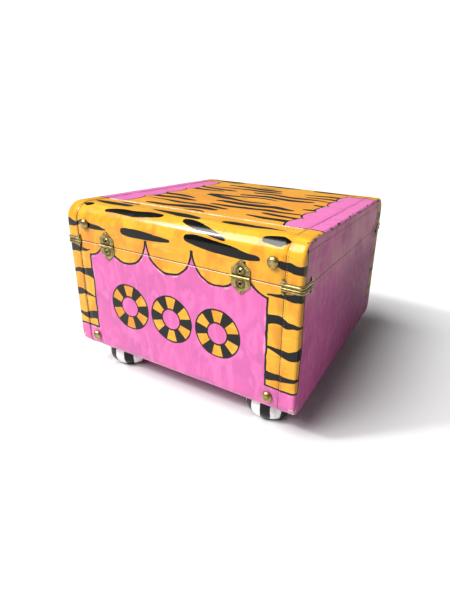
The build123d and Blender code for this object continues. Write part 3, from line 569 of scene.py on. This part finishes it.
# Painted shade inside the eyelets' bores
BORE_SHADE = srgb(8, 7, 6)
STEEL_PALE = srgb(190, 187, 180)
STEEL_SPECK = srgb(128, 120, 108)
FOOT_WHITE = srgb(244, 244, 242)
FOOT_WHITE_WORN = srgb(206, 204, 202)
FOOT_BLACK = srgb(12, 11, 12)
FOOT_BLACK_WORN = srgb(34, 32, 34)
SOLE_WOOD = srgb(120, 104, 84)
PAPER_TAN = srgb(222, 196, 150)
PAPER_FOXED = srgb(186, 146, 98)
PAPER_LAID = srgb(246, 232, 200)
WOOD_PALE = srgb(214, 176, 122)
WOOD_GRAIN = srgb(168, 122, 74)
LEATHER_BROWN = srgb(92, 50, 28)
LEATHER_DARK = srgb(58, 30, 18)
LEATHER_PIT = srgb(40, 20, 12)
LEATHER_RUBBED = srgb(150, 92, 54)
THREAD_MAROON = srgb(96, 44, 42)
THREAD_OCHRE = srgb(150, 92, 40)
THREAD_WHITE = srgb(250, 248, 240)
THREAD_CREAM = srgb(226, 212, 184)


def bare_board(name):
    """Sawn fibreboard edges and the board's inner face, with paint run over them in places."""
    look = Shader(name)
    grain = look.noise((3, 3, 0.6), 4, 41)
    colour = look.mix(look.ease(grain, 0.35, 0.7), BOARD_TAN, BOARD_BROWN)
    colour = look.mix(look.patches(14, 3, 42, 0.45, 0.62) * 0.75, colour, PAINT_RUN)
    return look.shade(colour, 0.75, grain * 0.15)


HOLLOW_RADIUS = 4.6
SHELTER_REACH = 2.4 * MM
SHELTER_SAMPLES = 8


def around_eyelets(look):
    """How deep a place lies in the pressed hollow round a hinge's eyelets, darkened there with painted shade
    and tarnish.
    """
    ring = abs(from_eyelet(look) - HOLLOW_RADIUS)
    hollow = look.ease(ring, 1.7, 0.4) * look.patches(3.0, 2, 57, 0.25, 0.50)
    return hollow * look.ease(abs(look.z - HINGE_LEVEL), 2.2, 3.0)


def inside_bore(look):
    """1 inside the bore of a hinge's eyelet, where the brass is painted near black as shade."""
    return look.step(EYELET_BORE + 0.12 - from_eyelet(look), 0.15)


def aged_brass(name, hollows=None, hollow_shade=HINGE_SHADE_AND_TARNISH):
    """Stamped brass, tarnished brown in patches, darkened in its recesses by painted shade and tarnish, and
    rubbed pale on the high spots.
    """
    look = Shader(name)
    openness = look.add("AmbientOcclusion", {"Distance": SHELTER_REACH}, "AO", samples=SHELTER_SAMPLES)
    tarnish = look.noise(6.0, 3, 51) * 0.8 + look.noise(0.9, 2, 52) * 0.2
    brass = look.mix(look.ease(tarnish, 0.36, 0.66), BRASS_WORN, BRASS_BROWN)
    # Painted shade and tarnish: the brass goes nearly black where nearby surfaces shelter it
    brass = look.mix(look.ease(openness, 0.95, 0.55), brass, BRASS_RECESS)
    rub = look.patches(4.5, 2, 53, 0.46, 0.74) * look.ease(openness, 0.82, 0.98)
    brass = look.mix(rub * 0.45, brass, BRASS_RUBBED)
    if hollows:
        # The hollows take painted shade, with tarnish on the hinge leaves
        brass = look.mix(hollows(look) * 0.8, brass, hollow_shade)
    rough = look.ease(look.noise(3.0, 2, 54), 0.3, 0.8, 0.28, 0.40)
    dents = look.noise(2.8, 1, 55) * 0.022 + look.noise(0.5, 1, 56) * 0.003
    return look.shade(brass, rough, dents, Metallic=0.92)


def plated(name):
    """Dull plated steel, speckled."""
    look = Shader(name)
    speck = look.noise(1.5, 4, 61)
    colour = look.mix(look.ease(speck, 0.45, 0.75), STEEL_PALE, STEEL_SPECK)
    return look.shade(colour, 0.38, speck * 0.05, Metallic=0.9)


FOOT_BANDS = 8.0
FOOT_BAND_EDGE = 3.6
SOLE_HEIGHT = 2.0
SOLE_EDGE = 6.0


def foot_paint(name):
    """Upright black and white bands, painted by hand round each foot."""
    look = Shader(name)
    low, high = box_mm("foot_rear_right")
    middle = (low + high) / 2
    off_x, off_y = abs(look.x) - middle.x, abs(look.y) - middle.y
    turn = look.math("ARCTAN2", off_y, off_x)
    band = look.step(look.math("SINE", turn * FOOT_BANDS + look.waver(9, 2, 71, 0.5)) * FOOT_BAND_EDGE)
    white = look.mix(look.patches((8, 8, 20), 3, 72, 0.45, 0.7), FOOT_WHITE, FOOT_WHITE_WORN)
    black = look.mix(look.patches((6, 6, 20), 3, 73, 0.5, 0.8), FOOT_BLACK, FOOT_BLACK_WORN)
    colour = look.mix(band, black, white)
    sole = look.step(high.x - middle.x - SOLE_EDGE - look.length(off_y, off_x), 2.0)
    sole = sole * look.step(SOLE_HEIGHT - look.z, 1.0)
    colour = look.mix(sole * 0.7, colour, SOLE_WOOD)
    height = look.noise((3, 3, 16), 3, 74) * 0.14 + band * 0.06
    return look.shade(colour, 0.32, height, Coat_Weight=0.22, Coat_Roughness=0.12, Specular_IOR_Level=0.12)


def lining(name):
    """Aged paper with a fine laid texture, foxed in places."""
    look = Shader(name)
    laid = look.noise((0.9, 14, 14), 3, 81) * 0.5 + look.noise((14, 0.9, 14), 3, 82) * 0.5
    colour = look.mix(look.patches(26, 4, 83, 0.52, 0.78) * 0.6, PAPER_TAN, PAPER_FOXED)
    colour = look.mix(look.ease(laid, 0.45, 0.60) * 0.25, colour, PAPER_LAID)
    return look.shade(colour, 0.85, laid * 0.12 + look.noise(20, 2, 84) * 0.4)


def lip_wood(name):
    """Thin bare wood with its grain along the case's sides."""
    look = Shader(name)
    grain = look.noise((40, 40, 1.3), 4, 91, warp=0.5)
    colour = look.mix(look.ease(grain, 0.38, 0.64), WOOD_PALE, WOOD_GRAIN)
    return look.shade(colour, 0.6, grain * 0.12)


PEBBLES_PER_MM = 0.9


def leather(name):
    """Brown handle leather with a pebbled grain, rubbed in places."""
    look = Shader(name)
    pebble = look.add("TexVoronoi", {"Vector": look.place, "Scale": PEBBLES_PER_MM}, "Distance")
    colour = look.mix(look.patches(12, 4, 101, 0.35, 0.7), LEATHER_BROWN, LEATHER_DARK)
    colour = look.mix(look.ease(pebble, 0.15, 0.65) * 0.4, LEATHER_PIT, colour)
    colour = look.mix(look.patches((30, 6, 6), 3, 102, 0.55, 0.75) * 0.35, colour, LEATHER_RUBBED)
    height = pebble * 0.16 + look.noise(9, 2, 103) * 0.2
    return look.shade(colour, 0.48, height, Coat_Weight=0.15, Coat_Roughness=0.3)


def thread(name, colour, other):
    """Waxed thread, painted over in places."""
    look = Shader(name)
    mixed = look.mix(look.patches(7, 3, 111, 0.42, 0.6), colour, other)
    return look.shade(mixed, 0.55, look.noise(0.4, 2, 112) * 0.08)


PAINT = Paint("hand_paint").finish()
BARE = bare_board("bare_board")
BRASS = aged_brass("aged_brass")
HINGE_BRASS = aged_brass("hinge_brass", around_eyelets)
EYELET_BRASS = aged_brass("eyelet_brass", inside_bore, BORE_SHADE)
STEEL = plated("plated_steel")
FOOT = foot_paint("foot_bands")
PAPER = lining("lining_paper")
WOOD = lip_wood("lip_wood")
LEATHER = leather("handle_leather")
DARK_THREAD = thread("dark_thread", THREAD_MAROON, THREAD_OCHRE)
PALE_THREAD = thread("pale_thread", THREAD_WHITE, THREAD_CREAM)


# Meshes
def add_object(name, data):
    """A new object in the scene."""
    obj = bpy.data.objects.new(name, data)
    scene.collection.objects.link(obj)
    return obj


SHARP_ANGLE = 35.0
TRAY_SHARP_ANGLE = 40.0


def add_piece(name, verts, faces, materials, body, replaced=(), indices=None, sharp=SHARP_ANGLE):
    """A mesh piece made from points in millimetres, riding on a body."""
    mesh = bpy.data.meshes.new(name)
    mesh.from_pydata([Vector(v) * MM for v in verts], [], faces)
    for material in materials:
        mesh.materials.append(material)
    if indices:
        mesh.polygons.foreach_set("material_index", indices)
    shaped = bmesh.new()
    shaped.from_mesh(mesh)
    bmesh.ops.recalc_face_normals(shaped, faces=shaped.faces)
    shaped.to_mesh(mesh)
    shaped.free()
    mesh.shade_smooth()
    mesh.set_sharp_from_angle(angle=math.radians(sharp))
    obj = add_object(name, mesh)
    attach(obj, body)
    if replaced:
        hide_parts(*replaced)


# Board trays, each with a rolled pair of long edges
SIDE_STEPS = 8
ROLL_STEPS = 10
FLAT_STEPS = 36
CORNER_STEPS = 6
RIM_BEVEL = 0.35
LONG_STEP = 7.0
INNER_CORNER = 1.0
COVER_GAP = 0.1
SHELL_SINK = COVER + COVER_GAP
GROOVE = 0.5
GROOVE_HALF = 0.6
INNER_EDGE = 0.3

# The covering's turned-in hem: how far it stands out, and its section as (distance from its edge, inset)
COVER_LIFT = 0.3
HEM = [(0.0, GROOVE), (0.1, 0.0), (0.7, -COVER_LIFT), (2.6, -COVER_LIFT * 0.8), (6.0, 0.0)]

# The unevenness of hand-covered boards: two waves, and how far from the rim they reach their height
LONG_WAVE = 70.0
LONG_WAVE_HEIGHT = 0.35
SHORT_WAVE = 23.0
SHORT_WAVE_HEIGHT = 0.12
SHORT_WAVE_PLACE = Vector((9, 4, 2))
WAVE_CLEARANCE = 12.0
TINY = 0.001


class Tray:
    """One board tray: the part it is of, the body it rides on, and where its faces lie."""

    def __init__(self, part, body, front, rim, base, roll):
        self.part = part
        self.body = body
        self.front = front
        self.rim = rim
        self.base = base
        self.roll = roll
        self.way = 1 if base > rim else -1
        self.roll_level = base - self.way * roll
        depth = abs(self.roll_level - rim)
        self.levels = [(0.0, RIM_BEVEL), (RIM_BEVEL, 0.0)]
        self.levels += [(depth * i / SIDE_STEPS, 0.0) for i in range(1, SIDE_STEPS)]

    def outline(self, inset):
        """The section's outline at an inset, from the hinge rim over to the front rim, as (y, z) points."""
        roll = self.roll - inset
        upright = [(extra, self.rim + self.way * level) for level, extra in self.levels]
        arc = [math.pi / 2 * i / ROLL_STEPS for i in range(ROLL_STEPS)]
        curve = [(roll * (1 - math.cos(a)), self.roll_level + self.way * roll * math.sin(a)) for a in arc]
        half = [(inset + extra, z) for extra, z in upright + curve]
        rear = [(HINGE_FACE - extra, z) for extra, z in half]
        front = [(self.front + extra, z) for extra, z in reversed(half)]
        start, stop = HINGE_FACE - inset - roll, self.front + inset + roll
        flat_z = self.base - self.way * inset
        flat = [(start + (stop - start) * i / FLAT_STEPS, flat_z) for i in range(FLAT_STEPS + 1)]
        return rear + flat + front

    def rows(self):
        """How many points of the outline lie on each long side before the flat."""
        return len(self.levels) + ROLL_STEPS

    def outward(self, place):
        """The outward direction of the long surfaces at a place."""
        y = max(place.y - (HINGE_FACE - self.roll), 0) + min(place.y - (self.front + self.roll), 0)
        z = max((place.z - self.roll_level) * self.way, 0) * self.way
        return Vector((0, y, z)).normalized()


def end_stations(end, corner, inset):
    """Stations round one vertical corner, as (x, inset) pairs that end on the flat end."""
    angles = [math.pi / 2 * i / CORNER_STEPS for i in range(CORNER_STEPS + 1)]
    return [(end - corner + corner * math.sin(a), inset + corner * (1 - math.cos(a))) for a in angles]


def add_cap(verts, faces, start, count, rows):
    """Fills in the outline of count points that starts there, with a grid between its two long sides."""
    grid = []
    for i in range(rows):
        left, right = start + i, start + count - 1 - i
        row = [left]
        for k in range(1, FLAT_STEPS):
            row.append(len(verts))
            verts.append(tuple(Vector(verts[left]).lerp(Vector(verts[right]), k / FLAT_STEPS)))
        grid.append(row + [right])
    grid.append(list(range(start + rows, start + count - rows)))
    for lower, upper in zip(grid, grid[1:]):
        for k in range(FLAT_STEPS):
            faces.append((lower[k], lower[k + 1], upper[k + 1], upper[k]))


def tray_skin(tray, stations, caps):
    """The points and faces of one open skin: stations along X, with the ends in caps filled in."""
    verts, faces = [], []
    outlines = [tray.outline(inset) for _, inset in stations]
    count = len(outlines[0])
    for (x, _), outline in zip(stations, outlines):
        verts += [(x, y, z) for y, z in outline]
    for i in range(len(stations) - 1):
        for j in range(count - 1):
            a = i * count + j
            faces.append((a, a + 1, a + count + 1, a + count))
    for cap in caps:
        start = 0 if cap < 0 else (len(stations) - 1) * count
        add_cap(verts, faces, start, count, tray.rows())
    return verts, faces


def uneven(point, tray):
    """Moves a point of the outer skin a little, as a hand-covered board is, but not at the rim."""
    place = Vector(point)
    wave = noise.noise(place / LONG_WAVE) * LONG_WAVE_HEIGHT
    wave += noise.noise(place / SHORT_WAVE + SHORT_WAVE_PLACE) * SHORT_WAVE_HEIGHT
    wave *= min(1.0, abs(place.z - tray.rim) / WAVE_CLEARANCE)
    off_middle = place.y - LID_MIDDLE
    out = Vector((
        max(abs(place.x) - (END - CORNER), 0) * math.copysign(1, place.x),
        max(abs(off_middle) - (HALF_DEPTH - tray.roll), 0) * math.copysign(1, off_middle),
        tray.way * max((place.z - tray.roll_level) * tray.way, 0),
    ))
    if out.length < TINY:
        return point
    return tuple(place + out.normalized() * wave)


def closed_tray(name, tray, outer, inner, caps, replaced):
    """A board or a covering with its own thickness: outer skin, inner skin and the rim between them."""
    outer_verts, outer_faces = tray_skin(tray, outer, caps)
    inner_verts, inner_faces = tray_skin(tray, inner, caps)
    shift = len(outer_verts)
    verts = [uneven(v, tray) for v in outer_verts] + inner_verts
    faces = outer_faces + [tuple(i + shift for i in reversed(face)) for face in inner_faces]
    edges = {}
    for face in outer_faces:
        for a, b in zip(face, face[1:] + face[:1]):
            edges.setdefault((min(a, b), max(a, b)), []).append((a, b))
    rims = [(b, a, a + shift, b + shift) for ((a, b), *more) in edges.values() if not more]
    faces += rims
    indices = [0] * len(outer_faces) + [1] * (len(inner_faces) + len(rims))
    add_piece(name, verts, faces, [PAINT, BARE], tray.body, replaced, indices, TRAY_SHARP_ANGLE)


def spread(start, stop, step):
    """Evenly spaced values from start to stop, both included, about a step apart."""
    count = max(1, round(abs(stop - start) / step))
    return [start + (stop - start) * i / count for i in range(count + 1)]


def mirrored(stations):
    """The same stations at the other end of the case."""
    return [(-x, inset) for x, inset in reversed(stations)]


def make_board(tray):
    """The board itself, sunk by the covering's thickness under the end covers."""
    middle = spread(-COVER_EDGE + GROOVE_HALF, COVER_EDGE - GROOVE_HALF, LONG_STEP)
    edge_outer = [(COVER_EDGE, GROOVE), (COVER_EDGE, SHELL_SINK)]
    edge_inner = [(COVER_EDGE, BOARD), (COVER_EDGE + INNER_EDGE, BOARD)]
    outer_end = edge_outer + end_stations(END - SHELL_SINK, CORNER - SHELL_SINK, SHELL_SINK)
    inner_end = edge_inner + end_stations(END - BOARD, INNER_CORNER, BOARD)
    outer = mirrored(outer_end) + [(x, 0.0) for x in middle] + outer_end
    inner = mirrored(inner_end) + [(x, BOARD) for x in middle] + inner_end
    replaced = (f"{tray.part}_shell",)
    closed_tray(f"{tray.part}_board", tray, outer, inner, (-1, 1), replaced)


def make_cover(tray, name, side):
    """The covering of one end, its hem turned in along the stitched edge."""
    outer = [(COVER_EDGE + distance, inset) for distance, inset in HEM]
    outer += end_stations(END, CORNER, 0.0)
    inner = [(COVER_EDGE + distance, COVER) for distance, _ in HEM]
    inner += end_stations(END - COVER, CORNER - COVER, COVER)
    if side < 0:
        outer, inner = mirrored(outer), mirrored(inner)
    replaced = (f"{tray.part}_end_cover_{name}",)
    closed_tray(f"{tray.part}_covering_{name}", tray, outer, inner, (side,), replaced)


TRAYS = (
    Tray("body", "case", BODY_FRONT, BODY_RIM, BOTTOM, BOTTOM_ROLL),
    Tray("lid", "lid", LID_FRONT, LID_RIM, TOP, TOP_ROLL),
)
SIDES = {"left": -1, "right": 1}
ROWS = ("front", "rear")

for tray in TRAYS:
    make_board(tray)
    for name, side in SIDES.items():
        make_cover(tray, name, side)


# Stitches
STITCH = {"pitch": 2.9, "length": 1.7, "margin": 3.0}
STITCH_WIDTH_SHARE = 0.32
STITCH_HEIGHT_SHARE = 0.19
STITCH_RINGS = 3
STITCH_SIDES = 6
STITCH_JITTER = 0.25
STITCH_JITTER_SCALE = 0.9
STITCH_LIFT = 0.02
STITCH_SEAT = COVER_LIFT * 0.9
STITCH_IN = 1.7
ZIGZAG = {"pitch": 3.4, "length": 3.0}
ZIGZAG_MARGIN = 2.0
ZIGZAG_TILT = math.radians(52)
ZIGZAG_Y = 107.5
ZIGZAG_END = COVER_EDGE - 2.0
ZIGZAG_STEP = 10.0


def add_stitch(verts, faces, centre, along, out, length):
    """One short loop of thread: a slim rounded bead that lies on the surface."""
    across = along.cross(out).normalized()
    start = len(verts)
    verts.append(centre - along * length / 2)
    for i in range(STITCH_RINGS):
        share = (i + 1) / (STITCH_RINGS + 1)
        swell = math.sin(math.pi * share) ** 0.5
        for k in range(STITCH_SIDES):
            a = 2 * math.pi * k / STITCH_SIDES
            offset = across * math.cos(a) * STITCH_WIDTH_SHARE / 2 + out * math.sin(a) * STITCH_HEIGHT_SHARE
            verts.append(centre + (along * (share - 0.5) + offset * swell) * length)
    verts.append(centre + along * length / 2)
    last = len(verts) - 1
    for k in range(STITCH_SIDES):
        n = (k + 1) % STITCH_SIDES
        faces.append((start, start + 1 + n, start + 1 + k))
        for i in range(STITCH_RINGS - 1):
            a = start + 1 + i * STITCH_SIDES
            faces.append((a + k, a + n, a + STITCH_SIDES + n, a + STITCH_SIDES + k))
        faces.append((last, last - STITCH_SIDES + k, last - STITCH_SIDES + n))


def walk(points, pitch, start, stop):
    """Places at a steady pitch along a path of points, each with its direction."""
    travelled = 0.0
    mark = start
    for a, b in zip(points, points[1:]):
        span = (b - a).length
        while span > 0 and mark <= travelled + span and mark <= stop:
            yield a.lerp(b, (mark - travelled) / span), (b - a).normalized()
            mark += pitch
        travelled += span


def stitched_path(verts, faces, points, outward, pitch, length, margin, tilt=0.0):
    """A row of stitches along a path; outward gives the surface's direction at a place."""
    path_length = sum((b - a).length for a, b in zip(points, points[1:]))
    for place, along in walk(points, pitch, margin, path_length - margin):
        out = outward(place)
        jitter = noise.noise(place * STITCH_JITTER_SCALE) * STITCH_JITTER
        turned = Matrix.Rotation(tilt + jitter, 3, out) @ along
        add_stitch(verts, faces, place + out * STITCH_LIFT, turned.normalized(), out, length)


def stitch_hems(tray):
    """The stitches along a tray's two hems."""
    verts, faces = [], []
    for side in SIDES.values():
        x = side * (COVER_EDGE + STITCH_IN)
        path = [Vector((x, y, z)) for y, z in tray.outline(-STITCH_SEAT)]
        stitched_path(verts, faces, path, tray.outward, **STITCH)
    add_piece(f"{tray.part}_stitching", verts, faces, [DARK_THREAD], tray.body)


def stitch_top():
    """The zigzag row along the top: two rows that lean against each other, half a pitch apart."""
    verts, faces = [], []
    path = [Vector((x, ZIGZAG_Y, TOP)) for x in spread(-ZIGZAG_END, ZIGZAG_END, ZIGZAG_STEP)]
    for tilt, margin in ((ZIGZAG_TILT, ZIGZAG_MARGIN), (-ZIGZAG_TILT, ZIGZAG_MARGIN + ZIGZAG["pitch"] / 2)):
        stitched_path(verts, faces, path, lambda place: UP, margin=margin, tilt=tilt, **ZIGZAG)
    add_piece("top_stitching", verts, faces, [PALE_THREAD], "lid")


for tray in TRAYS:
    stitch_hems(tray)
stitch_top()


# Turned and domed pieces
def lathe(verts, faces, centre, axis, profile, segments, bored=False):
    """A form turned from (radius, height) points, closed at both ends, or round a bore if they loop."""
    first = axis.orthogonal().normalized()
    second = axis.cross(first)
    start = len(verts)
    for radius, height in profile:
        for k in range(segments):
            a = 2 * math.pi * k / segments
            verts.append(centre + axis * height + (first * math.cos(a) + second * math.sin(a)) * radius)
    for i in range(len(profile) if bored else len(profile) - 1):
        for k in range(segments):
            n = (k + 1) % segments
            a, b = start + i * segments, start + (i + 1) % len(profile) * segments
            faces.append((a + k, a + n, b + n, b + k))
    if bored:
        return
    faces.append(tuple(start + k for k in reversed(range(segments))))
    faces.append(tuple(len(verts) - segments + k for k in range(segments)))


def pair_centres(low, high, radius, seat):
    """The seats of two round pieces at the ends of a box on the hinge side."""
    return [Vector((x, seat, (low.z + high.z) / 2)) for x in (low.x + radius, high.x - radius)]


FOOT_BELLY_HEIGHT = 17.0
FOOT_BASE_RADIUS = 19.0
FOOT_TOP_RADIUS = 28.5
FOOT_BASE_EASE = 1.2
FOOT_LOWER_STEPS = 12
FOOT_UPPER_STEPS = 7
FOOT_SEGMENTS = 72


def foot_profile(height, radius):
    """A bun foot's side: a round belly over a flat base, easing in under the case."""
    swell = radius - FOOT_BASE_RADIUS
    arc = (swell**2 + FOOT_BELLY_HEIGHT**2) / (2 * swell)
    sweep = math.asin(FOOT_BELLY_HEIGHT / arc)
    points = [(FOOT_BASE_RADIUS - FOOT_BASE_EASE, 0.0)]
    for i in range(1, FOOT_LOWER_STEPS + 1):
        a = sweep * (1 - i / FOOT_LOWER_STEPS)
        points.append((radius - arc + arc * math.cos(a), FOOT_BELLY_HEIGHT - arc * math.sin(a)))
    for i in range(1, FOOT_UPPER_STEPS + 1):
        share = i / FOOT_UPPER_STEPS
        level = FOOT_BELLY_HEIGHT + (height - FOOT_BELLY_HEIGHT) * share
        points.append((radius - (radius - FOOT_TOP_RADIUS) * share**2, level))
    return points


def make_foot(node):
    """One turned bun foot in the place of its CAD node."""
    low, high = box_mm(node)
    middle = (low + high) / 2
    verts, faces = [], []
    profile = foot_profile(high.z - low.z, (high.x - low.x) / 2)
    lathe(verts, faces, Vector((middle.x, middle.y, low.z)), UP, profile, FOOT_SEGMENTS)
    add_piece(f"bun_{node}", verts, faces, [FOOT], "case", (node,))


STUD_RADIUS = 6.0
STUD_BRIM = 0.5
STUD_BRIM_EASE = 0.25
STUD_CROWN = 0.15
STUD_FULLNESS = 0.92
STUD_STEPS = 9
STUD_SEGMENTS = 32
STUD_DENT = 0.08
STUD_DENT_SIZE = 3.5


def dome_profile(height):
    """A rounded stud: a thin brim, then a full dome with a flattened crown."""
    points = [(STUD_RADIUS - STUD_BRIM_EASE, 0.0), (STUD_RADIUS, STUD_BRIM_EASE), (STUD_RADIUS, STUD_BRIM)]
    for i in range(1, STUD_STEPS + 1):
        a = math.pi / 2 * i / STUD_STEPS
        radius = max(STUD_RADIUS * math.cos(a) ** STUD_FULLNESS, STUD_CROWN)
        points.append((radius, STUD_BRIM + (height - STUD_BRIM) * math.sin(a)))
    return points


def make_studs(tray):
    """A tray's two rest studs, each a little dented."""
    node = f"rest_studs_{tray.part}"
    low, high = box_mm(node)
    verts, faces = [], []
    for centre in pair_centres(low, high, STUD_RADIUS, HINGE_FACE):
        lathe(verts, faces, centre, REARWARD, dome_profile(high.y - HINGE_FACE), STUD_SEGMENTS)
    verts = [v + UP * noise.noise(v / STUD_DENT_SIZE) * STUD_DENT for v in verts]
    add_piece(f"{tray.part}_domed_studs", verts, faces, [BRASS], tray.body, (node,))


def eyelet_profile(foot):
    """A tubular rivet's section as a closed loop: the rolled head, down the bore and back up the neck."""
    middle = (EYELET_RADIUS + EYELET_BORE) / 2
    half = (EYELET_RADIUS - EYELET_BORE) / 2
    angles = [math.pi * i / EYELET_STEPS for i in range(EYELET_STEPS + 1)]
    head = [(middle + half * math.cos(a), EYELET_ROLL * math.sin(a)) for a in angles]
    return head + [(EYELET_BORE, foot), (EYELET_NECK, foot), (EYELET_NECK, 0.0)]


def make_eyelets(tray):
    """The tubular rivets of a tray's two hinge leaves."""
    node = f"hinge_rivets_{tray.part}"
    low, high = box_mm(node)
    seat = high.y - EYELET_SEAT
    verts, faces = [], []
    for centre in pair_centres(low, high, (high.z - low.z) / 2, seat):
        lathe(verts, faces, centre, REARWARD, eyelet_profile(low.y - seat), EYELET_SEGMENTS, bored=True)
    add_piece(f"{tray.part}_hinge_eyelets", verts, faces, [EYELET_BRASS], tray.body, (node,))


for row in ROWS:
    for name in SIDES:
        make_foot(f"foot_{row}_{name}")
for tray in TRAYS:
    make_studs(tray)
for tray in TRAYS:
    make_eyelets(tray)


# CAD nodes that keep their own shape
def finish_nodes(material, *nodes):
    """Gives CAD nodes their material."""
    for node in nodes:
        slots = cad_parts[node].data.materials
        slots.clear()
        slots.append(material)


def pairs(*stems):
    """The names of the left and right nodes that start so."""
    return [f"{stem}_{name}" for stem in stems for name in SIDES]


for tray in TRAYS:
    finish_nodes(BRASS, f"clamp_rivets_{tray.part}", f"catch_rivets_{tray.part}")
    finish_nodes(BRASS, *pairs(*[f"corner_clamp_{tray.part}_{row}" for row in ROWS]))
finish_nodes(BRASS, "handle_rivets", *pairs("handle_bracket", "handle_loop"))
finish_nodes(BRASS, *pairs("catch_case", "catch_button", "hasp_plate", "hasp"))
finish_nodes(HINGE_BRASS, *pairs("hinge_leaf_body", "hinge_leaf_lid"))
finish_nodes(STEEL, "foot_screws", "foot_washers", *pairs("hinge_pin", "hasp_pin"))
finish_nodes(PAPER, "body_lining", "lid_lining")
finish_nodes(WOOD, "closing_lip")
finish_nodes(LEATHER, "handle_grip")


# Floor, light and camera
FLOOR_HALF = 8.0
FLOOR_PALE = srgb(216, 216, 216)
FLOOR_DARKER = srgb(214, 214, 214)
BACKDROP_LEVEL = 1.0
WORLD_STRENGTH = 0.13

# Each sun: the direction it shines from, its strength and its width in degrees
SUNS = {
    "key": ((0.62, 0.48, 0.70), 1.6, 6),
    "soft": ((0.44, 0.53, 1.02), 4.8, 42),
}


def floor_paint(name):
    """Matt pale grey paint, hardly mottled."""
    look = Shader(name)
    colour = look.mix(look.noise(400, 2, 121), FLOOR_PALE, FLOOR_DARKER)
    return look.shade(colour, 0.9, Specular_IOR_Level=0.2)


def make_floor():
    """A wide pale floor, in metres."""
    corners = [(x * FLOOR_HALF, y * FLOOR_HALF, 0) for x, y in ((-1, -1), (1, -1), (1, 1), (-1, 1))]
    mesh = bpy.data.meshes.new("floor")
    mesh.from_pydata(corners, [], [(0, 1, 2, 3)])
    mesh.materials.append(floor_paint("floor_paint"))
    floor = add_object("floor", mesh)


def sun_light(name, towards, strength, width):
    """A distant soft light that shines from a direction."""
    light = bpy.data.lights.new(name, "SUN")
    light.energy = strength
    light.angle = math.radians(width)
    obj = add_object(name, light)
    obj.location = towards
    obj.rotation_euler = (-obj.location).to_track_quat("-Z", "Y").to_euler()


def make_world():
    """An even surround, which looks white and lights the object softly."""
    world = bpy.data.worlds.new("studio")
    world.use_nodes = True
    tree = world.node_tree
    backdrop = tree.nodes["Background"]
    backdrop.inputs["Color"].default_value = (1.0, 1.0, 1.0, 1.0)
    seen = tree.nodes.new("ShaderNodeLightPath")
    level = tree.nodes.new("ShaderNodeMapRange")
    level.inputs["To Min"].default_value = WORLD_STRENGTH
    level.inputs["To Max"].default_value = BACKDROP_LEVEL
    tree.links.new(seen.outputs["Is Camera Ray"], level.inputs["Value"])
    tree.links.new(level.outputs[0], backdrop.inputs["Strength"])
    scene.world = world


# The photograph's view, found from the case's corners: metres, radians, and the lens in millimetres
CAMERA_PLACE = Vector((-0.2662, 0.4509, 0.3078))
CAMERA_YAW = math.pi - 0.4571
CAMERA_PITCH = 0.3457
CAMERA_ROLL = 0.0438
CAMERA_LENS = 23.456
CAMERA_SENSOR = 36.0
CAMERA_SHIFT = (-0.0758, -0.0526)
CAMERA_NEAR = 0.01


def make_camera():
    """The photograph's camera: rolled, tipped down from level, and then turned by its yaw."""
    view = bpy.data.cameras.new("photo_view")
    view.sensor_width = CAMERA_SENSOR
    view.lens = CAMERA_LENS
    view.shift_x, view.shift_y = CAMERA_SHIFT
    view.clip_start = CAMERA_NEAR
    camera = add_object("photo_view", view)
    yaw = Matrix.Rotation(-CAMERA_YAW, 4, "Z")
    pitch = Matrix.Rotation(math.pi / 2 - CAMERA_PITCH, 4, "X")
    roll = Matrix.Rotation(CAMERA_ROLL, 4, "Z")
    camera.matrix_world = Matrix.Translation(CAMERA_PLACE) @ yaw @ pitch @ roll
    scene.camera = camera


make_floor()
make_world()
for name, sun in SUNS.items():
    sun_light(name, *sun)
make_camera()
scene.view_settings.view_transform = "Standard"
